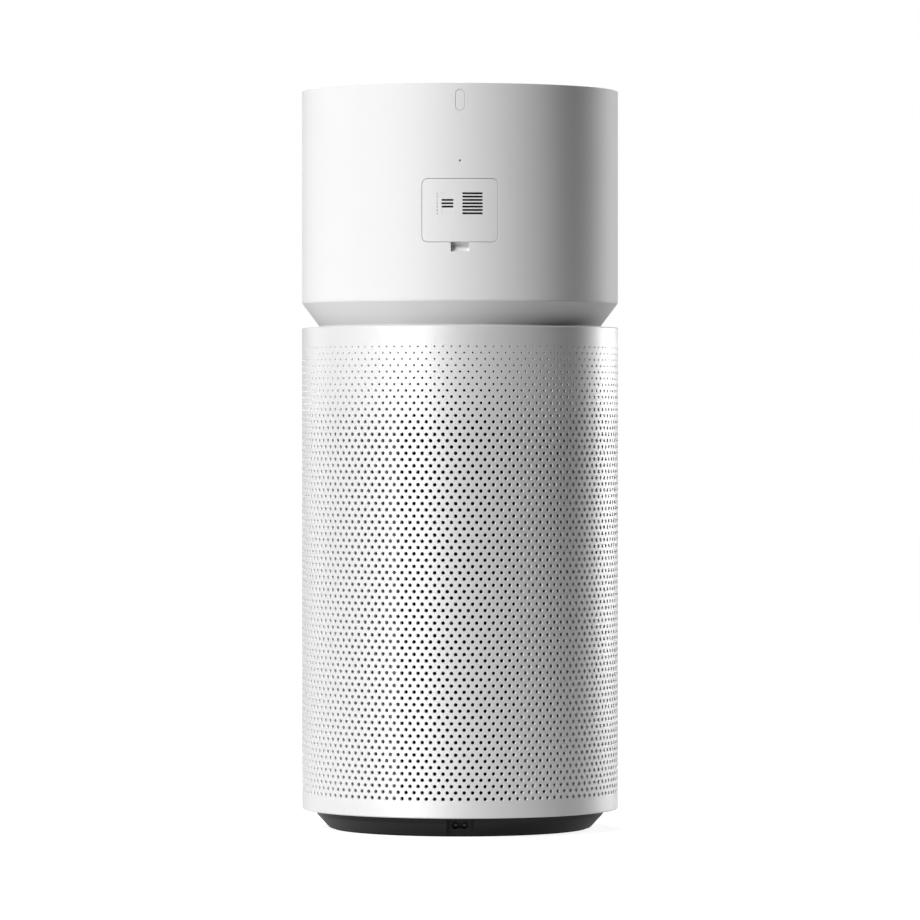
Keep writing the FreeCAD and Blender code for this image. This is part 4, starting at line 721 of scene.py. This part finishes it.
class Skin:
    """A sheet wrapped round the machine's axis, with rounded openings and shallow recesses."""

    def __init__(self, radius, wall, edge):
        self.radius = radius
        self.wall = wall
        self.edge = edge
        self.points = []
        self.faces = []
        self.known = {}
        self.spots = []
        self.drops = []
        self.lines = []
        self.gaps = []

    def point(self, along, height, drop):
        """The number of the point at a distance round the skin, sunk by a drop; equal points are shared."""
        place = round_point(self.radius - drop, along / self.radius, height)
        key = tuple(round(value / SAME_POINT) for value in place)
        if key not in self.known:
            self.known[key] = len(self.points)
            self.points.append(place)
        return self.known[key]

    def line(self, spots, drop=0.0, closed=True):
        """A line of points that the sheet's triangles keep as an edge."""
        first = len(self.spots)
        self.spots += spots
        self.drops += [drop] * len(spots)
        last = len(self.spots) - 1
        self.lines += [(index, index + 1) for index in range(first, last)]
        if closed:
            self.lines.append((last, first))

    def rim(self, at, closed=True):
        """A rounded edge down to the sheet's back; `at` gives its spots for any distance into the sheet."""
        self.line(at(self.edge), closed=closed)
        rows = []
        for turn in EDGE_TURNS:
            bend = math.radians(turn)
            inset, drop = self.edge * (1 - math.cos(bend)), self.edge * (1 - math.sin(bend))
            rows.append([self.point(*spot, drop) for spot in at(inset)])
        rows.append([self.point(*spot, self.wall) for spot in at(0.0)])
        rows.append([self.point(*spot, self.wall) for spot in at(self.edge)])
        total = len(rows[0])
        for upper, lower in zip(rows, rows[1:]):
            for index in range(total if closed else total - 1):
                after = (index + 1) % total
                self.faces.append((upper[index], upper[after], lower[after], lower[index]))

    def opening(self, corners, place):
        """A hole through the sheet, with rounded edges."""

        def at(inset):
            return [(place(x), z) for x, z in grown_outline(corners, inset)]

        self.gaps.append(at(self.edge))
        self.rim(at)

    def recess(self, corners, place, depth, slope):
        """A shallow hollow with a sloping side."""
        self.line([(place(x), z) for x, z in grown_outline(corners, slope)])
        self.line([(place(x), z) for x, z in grown_outline(corners, 0.0)], depth)

    def solid_at(self, places, keep):
        """Which places lie in the sheet: outside every opening, and inside the outline to keep."""
        held = np.ones(len(places), dtype=bool)
        for gap in self.gaps:
            held &= ~inside(places, gap)
        if keep:
            held &= inside(places, keep)
        return held

    def sheet(self, low, high, step_across, step_up, keep=None):
        """Fills the sheet with triangles between its lines, in front and at the back."""
        lines = np.array(self.spots)
        columns = max(2, round((high[0] - low[0]) / step_across) + 1)
        rows = max(2, round((high[1] - low[1]) / step_up) + 1)
        grid = np.stack(
            np.meshgrid(np.linspace(low[0], high[0], columns), np.linspace(low[1], high[1], rows)), axis=-1
        ).reshape(-1, 2)
        near = np.array([np.min(np.hypot(*(lines - spot).T)) for spot in grid])
        grid = grid[near > LINE_CLEARANCE]
        grid = grid[self.solid_at(grid, keep)]
        spots = [Vector(spot) for spot in self.spots + [tuple(spot) for spot in grid]]
        drops = self.drops + [0.0] * len(grid)
        verts, _, faces, origins, _, _ = delaunay_2d_cdt(spots, self.lines, [], 0, 1e-9)
        drops = [max(drops[index] for index in source) if source else 0.0 for source in origins]
        middles = np.array([np.mean([verts[index] for index in face], axis=0) for face in faces])
        held = self.solid_at(middles, keep)
        for face in (face for face, kept in zip(faces, held) if kept):
            self.faces.append(tuple(self.point(*verts[index], drops[index]) for index in reversed(face)))
            self.faces.append(tuple(self.point(*verts[index], self.wall) for index in face))

    def block(self, low, high, chamfer):
        """Adds a block with softened edges."""
        shape = bmesh.new()
        bmesh.ops.create_cube(shape, size=1.0)
        for vert in shape.verts:
            vert.co = Vector(a + (b - a) * (side + 0.5) for a, b, side in zip(low, high, vert.co))
        bmesh.ops.bevel(shape, geom=shape.edges[:], offset=chamfer, segments=2, profile=0.5, affect="EDGES")
        first = len(self.points)
        self.points += [tuple(vert.co) for vert in shape.verts]
        self.faces += [tuple(first + vert.index for vert in face.verts) for face in shape.faces]
        shape.free()

    def piece(self, name, slot, body, replaced=()):
        """The finished piece, with every face turned outwards."""
        shape = bmesh.new()
        verts = [shape.verts.new(spot) for spot in self.points]
        for face in self.faces:
            corners = dict.fromkeys(face)
            if len(corners) > 2:
                shape.faces.new([verts[index] for index in corners])
        bmesh.ops.recalc_face_normals(shape, faces=shape.faces[:])
        shape.verts.index_update()
        faces = [tuple(vert.index for vert in face.verts) for face in shape.faces]
        shape.free()
        add_piece(name, self.points, faces, slot, body, replaced, round_skin=self.radius)


def round_ended(near, far, low, high):
    """A slot with round ends, or a circle."""
    half = min(far - near, high - low) / 2
    return panel_corners(near, far, low, high, half - ROUND_SLACK)


def sensor_cover():
    """The rear cover: seven wide slots, three short ones, blind grooves beside them and its two hooks."""
    skin = Skin(RADIUS, COVER_THICK, COVER_EDGE)
    outline = panel_corners(-COVER_HALF, COVER_HALF, COVER_LOW, COVER_HIGH, COVER_CORNER)

    def rim(inset):
        return [(at_rear(x), z) for x, z in grown_outline(outline, -inset)]

    skin.rim(rim)
    for row in range(SLOT_ROWS):
        level = SLOT_LOW + row * SLOT_PITCH
        low, high = level - SLOT_HEIGHT / 2, level + SLOT_HEIGHT / 2
        skin.opening(round_ended(-WIDE_FAR, -WIDE_NEAR, low, high), at_rear)
        small = round_ended(SMALL_NEAR, SMALL_FAR, low, high)
        if row in SMALL_ROWS:
            skin.opening(small, at_rear)
        else:
            skin.recess(small, at_rear, GROOVE_DEPTH, GROOVE_DEPTH)
        for spot, depth in ((DOT_FAR, DOT_DEPTH), (DOT_NEAR, GROOVE_DEPTH)):
            dot = round_ended(spot - DOT_RADIUS, spot + DOT_RADIUS, level - DOT_RADIUS, level + DOT_RADIUS)
            skin.recess(dot, at_rear, depth, GROOVE_DEPTH)
    reach = at_rear(COVER_HALF)
    low, high = (-reach, COVER_LOW), (reach, COVER_HIGH)
    skin.sheet(low, high, COVER_MESH, COVER_MESH, keep=rim(skin.edge))
    for side in (-1, 1):
        left, right = side * TAB_X - TAB_HALF, side * TAB_X + TAB_HALF
        foot = COVER_HIGH - TAB_OVERLAP
        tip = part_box("sensor_cover")[1].z
        skin.block((left, TAB_INNER, foot), (right, TAB_INNER + TAB_THICK, tip), HOOK_CHAMFER)
        skin.block((left, TAB_INNER, foot), (right, TAB_ROOT_END, foot + TAB_ROOT_HEIGHT), HOOK_CHAMFER)
    skin.piece("sensor_cover_skin", "housing_white", "sensor_cover", ["sensor_cover"])


def cover_opening(grow):
    """The housing's opening for the cover, joined with the finger scoop under it."""
    side = COVER_HALF + COVER_GAP + grow
    low, high = COVER_LOW - COVER_GAP - grow, COVER_HIGH + COVER_GAP + grow
    corner = COVER_CORNER + COVER_GAP + grow
    finger, floor = SCOOP_HALF + grow, SCOOP_LOW - grow
    return [
        (-side, low, corner),
        (-finger, low, SCOOP_CORNER - grow),
        (-finger, floor, SCOOP_CORNER + grow),
        (finger, floor, SCOOP_CORNER + grow),
        (finger, low, SCOOP_CORNER - grow),
        (side, low, corner),
        (side, high, corner),
        (-side, high, corner),
    ]


def upper_housing():
    """The white upper wall, with its openings for cover, button, reset pin and display."""
    skin = Skin(RADIUS, HOUSING_WALL, HOUSING_EDGE)
    start, end = -math.pi / 2 * RADIUS, 3 * math.pi / 2 * RADIUS
    low, high = HOUSING_LOW + skin.edge, HOUSING_HIGH - skin.edge

    def level_line(height):
        steps = range(HOUSING_STEPS + 1)
        return [(start + (end - start) * step / HOUSING_STEPS, height) for step in steps]

    skin.rim(lambda inset: level_line(HOUSING_LOW + inset), closed=False)
    skin.rim(lambda inset: level_line(HOUSING_HIGH - inset), closed=False)
    skin.opening(cover_opening, at_rear)
    half, margin = BUTTON_HALF + BUTTON_GAP, FLANGE - BUTTON_GAP
    button_low, button_high = (corner.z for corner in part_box("rear_button"))
    skin.opening(round_ended(-half, half, button_low + margin, button_high - margin), at_rear)
    pin = PINHOLE_RADIUS
    skin.opening(round_ended(-pin, pin, PINHOLE_HEIGHT - pin, PINHOLE_HEIGHT + pin), at_rear)
    bezel_low, bezel_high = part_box("display_bezel")
    half, level = bezel_high.x, (bezel_low.z + bezel_high.z) / 2
    skin.opening(round_ended(-half, half, level - half, level + half), at_front)
    for along in (start, end):
        heights = np.linspace(low, high, BORDER_STEPS + 1)
        skin.line([(along, float(height)) for height in heights], closed=False)
    skin.sheet((start, low), (end, high), HOUSING_MESH_ACROSS, HOUSING_MESH_UP)
    skin.piece("upper_housing_skin", "housing_white", "root", ["upper_housing"])


def neck():
    """The slanted neck between the lower shells and the upper housing."""
    inner = NECK_RADIUS - SHELL_WALL
    low, high = (corner.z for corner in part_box("neck_cone"))
    corners = [
        (inner, low, SOFT_ROUND),
        (inner, NECK_LOW + NECK_RISE, 0),
        (RADIUS - NECK_TOP, high, 0),
        (RADIUS - NECK_INSET, high, SHARP_ROUND),
        (RADIUS - NECK_INSET, high - NECK_EDGE, SOFT_ROUND),
        (NECK_RADIUS, NECK_LOW, NECK_BEND),
        (NECK_RADIUS, low, SOFT_ROUND),
    ]
    turned_piece("neck_skin", corners[::-1], "housing_white", "root", ["neck_cone"])


def top_cover():
    """The sunken white ring between the top rim and the air outlet."""
    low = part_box("top_cover")[0].z
    corners = [
        (OUTLET_RADIUS, low, 0),
        (OUTLET_RADIUS + COLLAR, low, 0),
        (OUTLET_RADIUS + COLLAR, OUTLET_EDGE - COLLAR, 0),
        (RIM_RADIUS + RIM_SLOPE, HOUSING_HIGH - RIM_THICK, 0),
        (TOP_RADIUS, HOUSING_HIGH - RIM_THICK, SHARP_ROUND),
        (TOP_RADIUS, HOUSING_HIGH, SOFT_ROUND),
        (RIM_RADIUS, HOUSING_HIGH, RIM_ROUND),
        (OUTLET_RADIUS + COLLAR, OUTLET_EDGE, RING_BEND),
        (OUTLET_RADIUS, OUTLET_EDGE, OUTLET_ROUND),
    ]
    turned_piece("top_cover_skin", corners, "housing_white", "root", ["top_cover"])


def magnet_holders():
    """Blocks at the door's edges round its four magnets."""
    holders = Skin(RADIUS, SHELL_WALL, EDGE_ROUND)
    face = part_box("door_magnets")[1].y - HOLDER_SETBACK
    for side in (-1, 1):
        for level in MAGNET_LEVELS:
            low = (HOLDER_INNER, face - HOLDER_DEPTH, level - HOLDER_HALF)
            high = (HOLDER_OUTER, face, level + HOLDER_HALF)
            if side < 0:
                low, high = (-HOLDER_OUTER, *low[1:]), (-HOLDER_INNER, *high[1:])
            holders.block(low, high, BLOCK_CHAMFER)
    holders.piece("magnet_holders", "shell_white", "filter_door")


# ---------------------------------------------------------------- assembly


def finish_cad_nodes():
    """Every CAD node that stays gets the procedural material of its slot."""
    slots = {item["node"]: item["material_slot"] for item in frame["record"]["subparts"]}
    for name, node in frame["nodes"].items():
        material = MATERIALS[slots[name]]
        for place in node.material_slots:
            place.material = material


make_camera()
make_lights()
make_world()
make_floor()
MATERIALS = make_materials()
finish_cad_nodes()
lower_shells()
magnet_holders()
neck()
top_cover()
upper_housing()
sensor_cover()
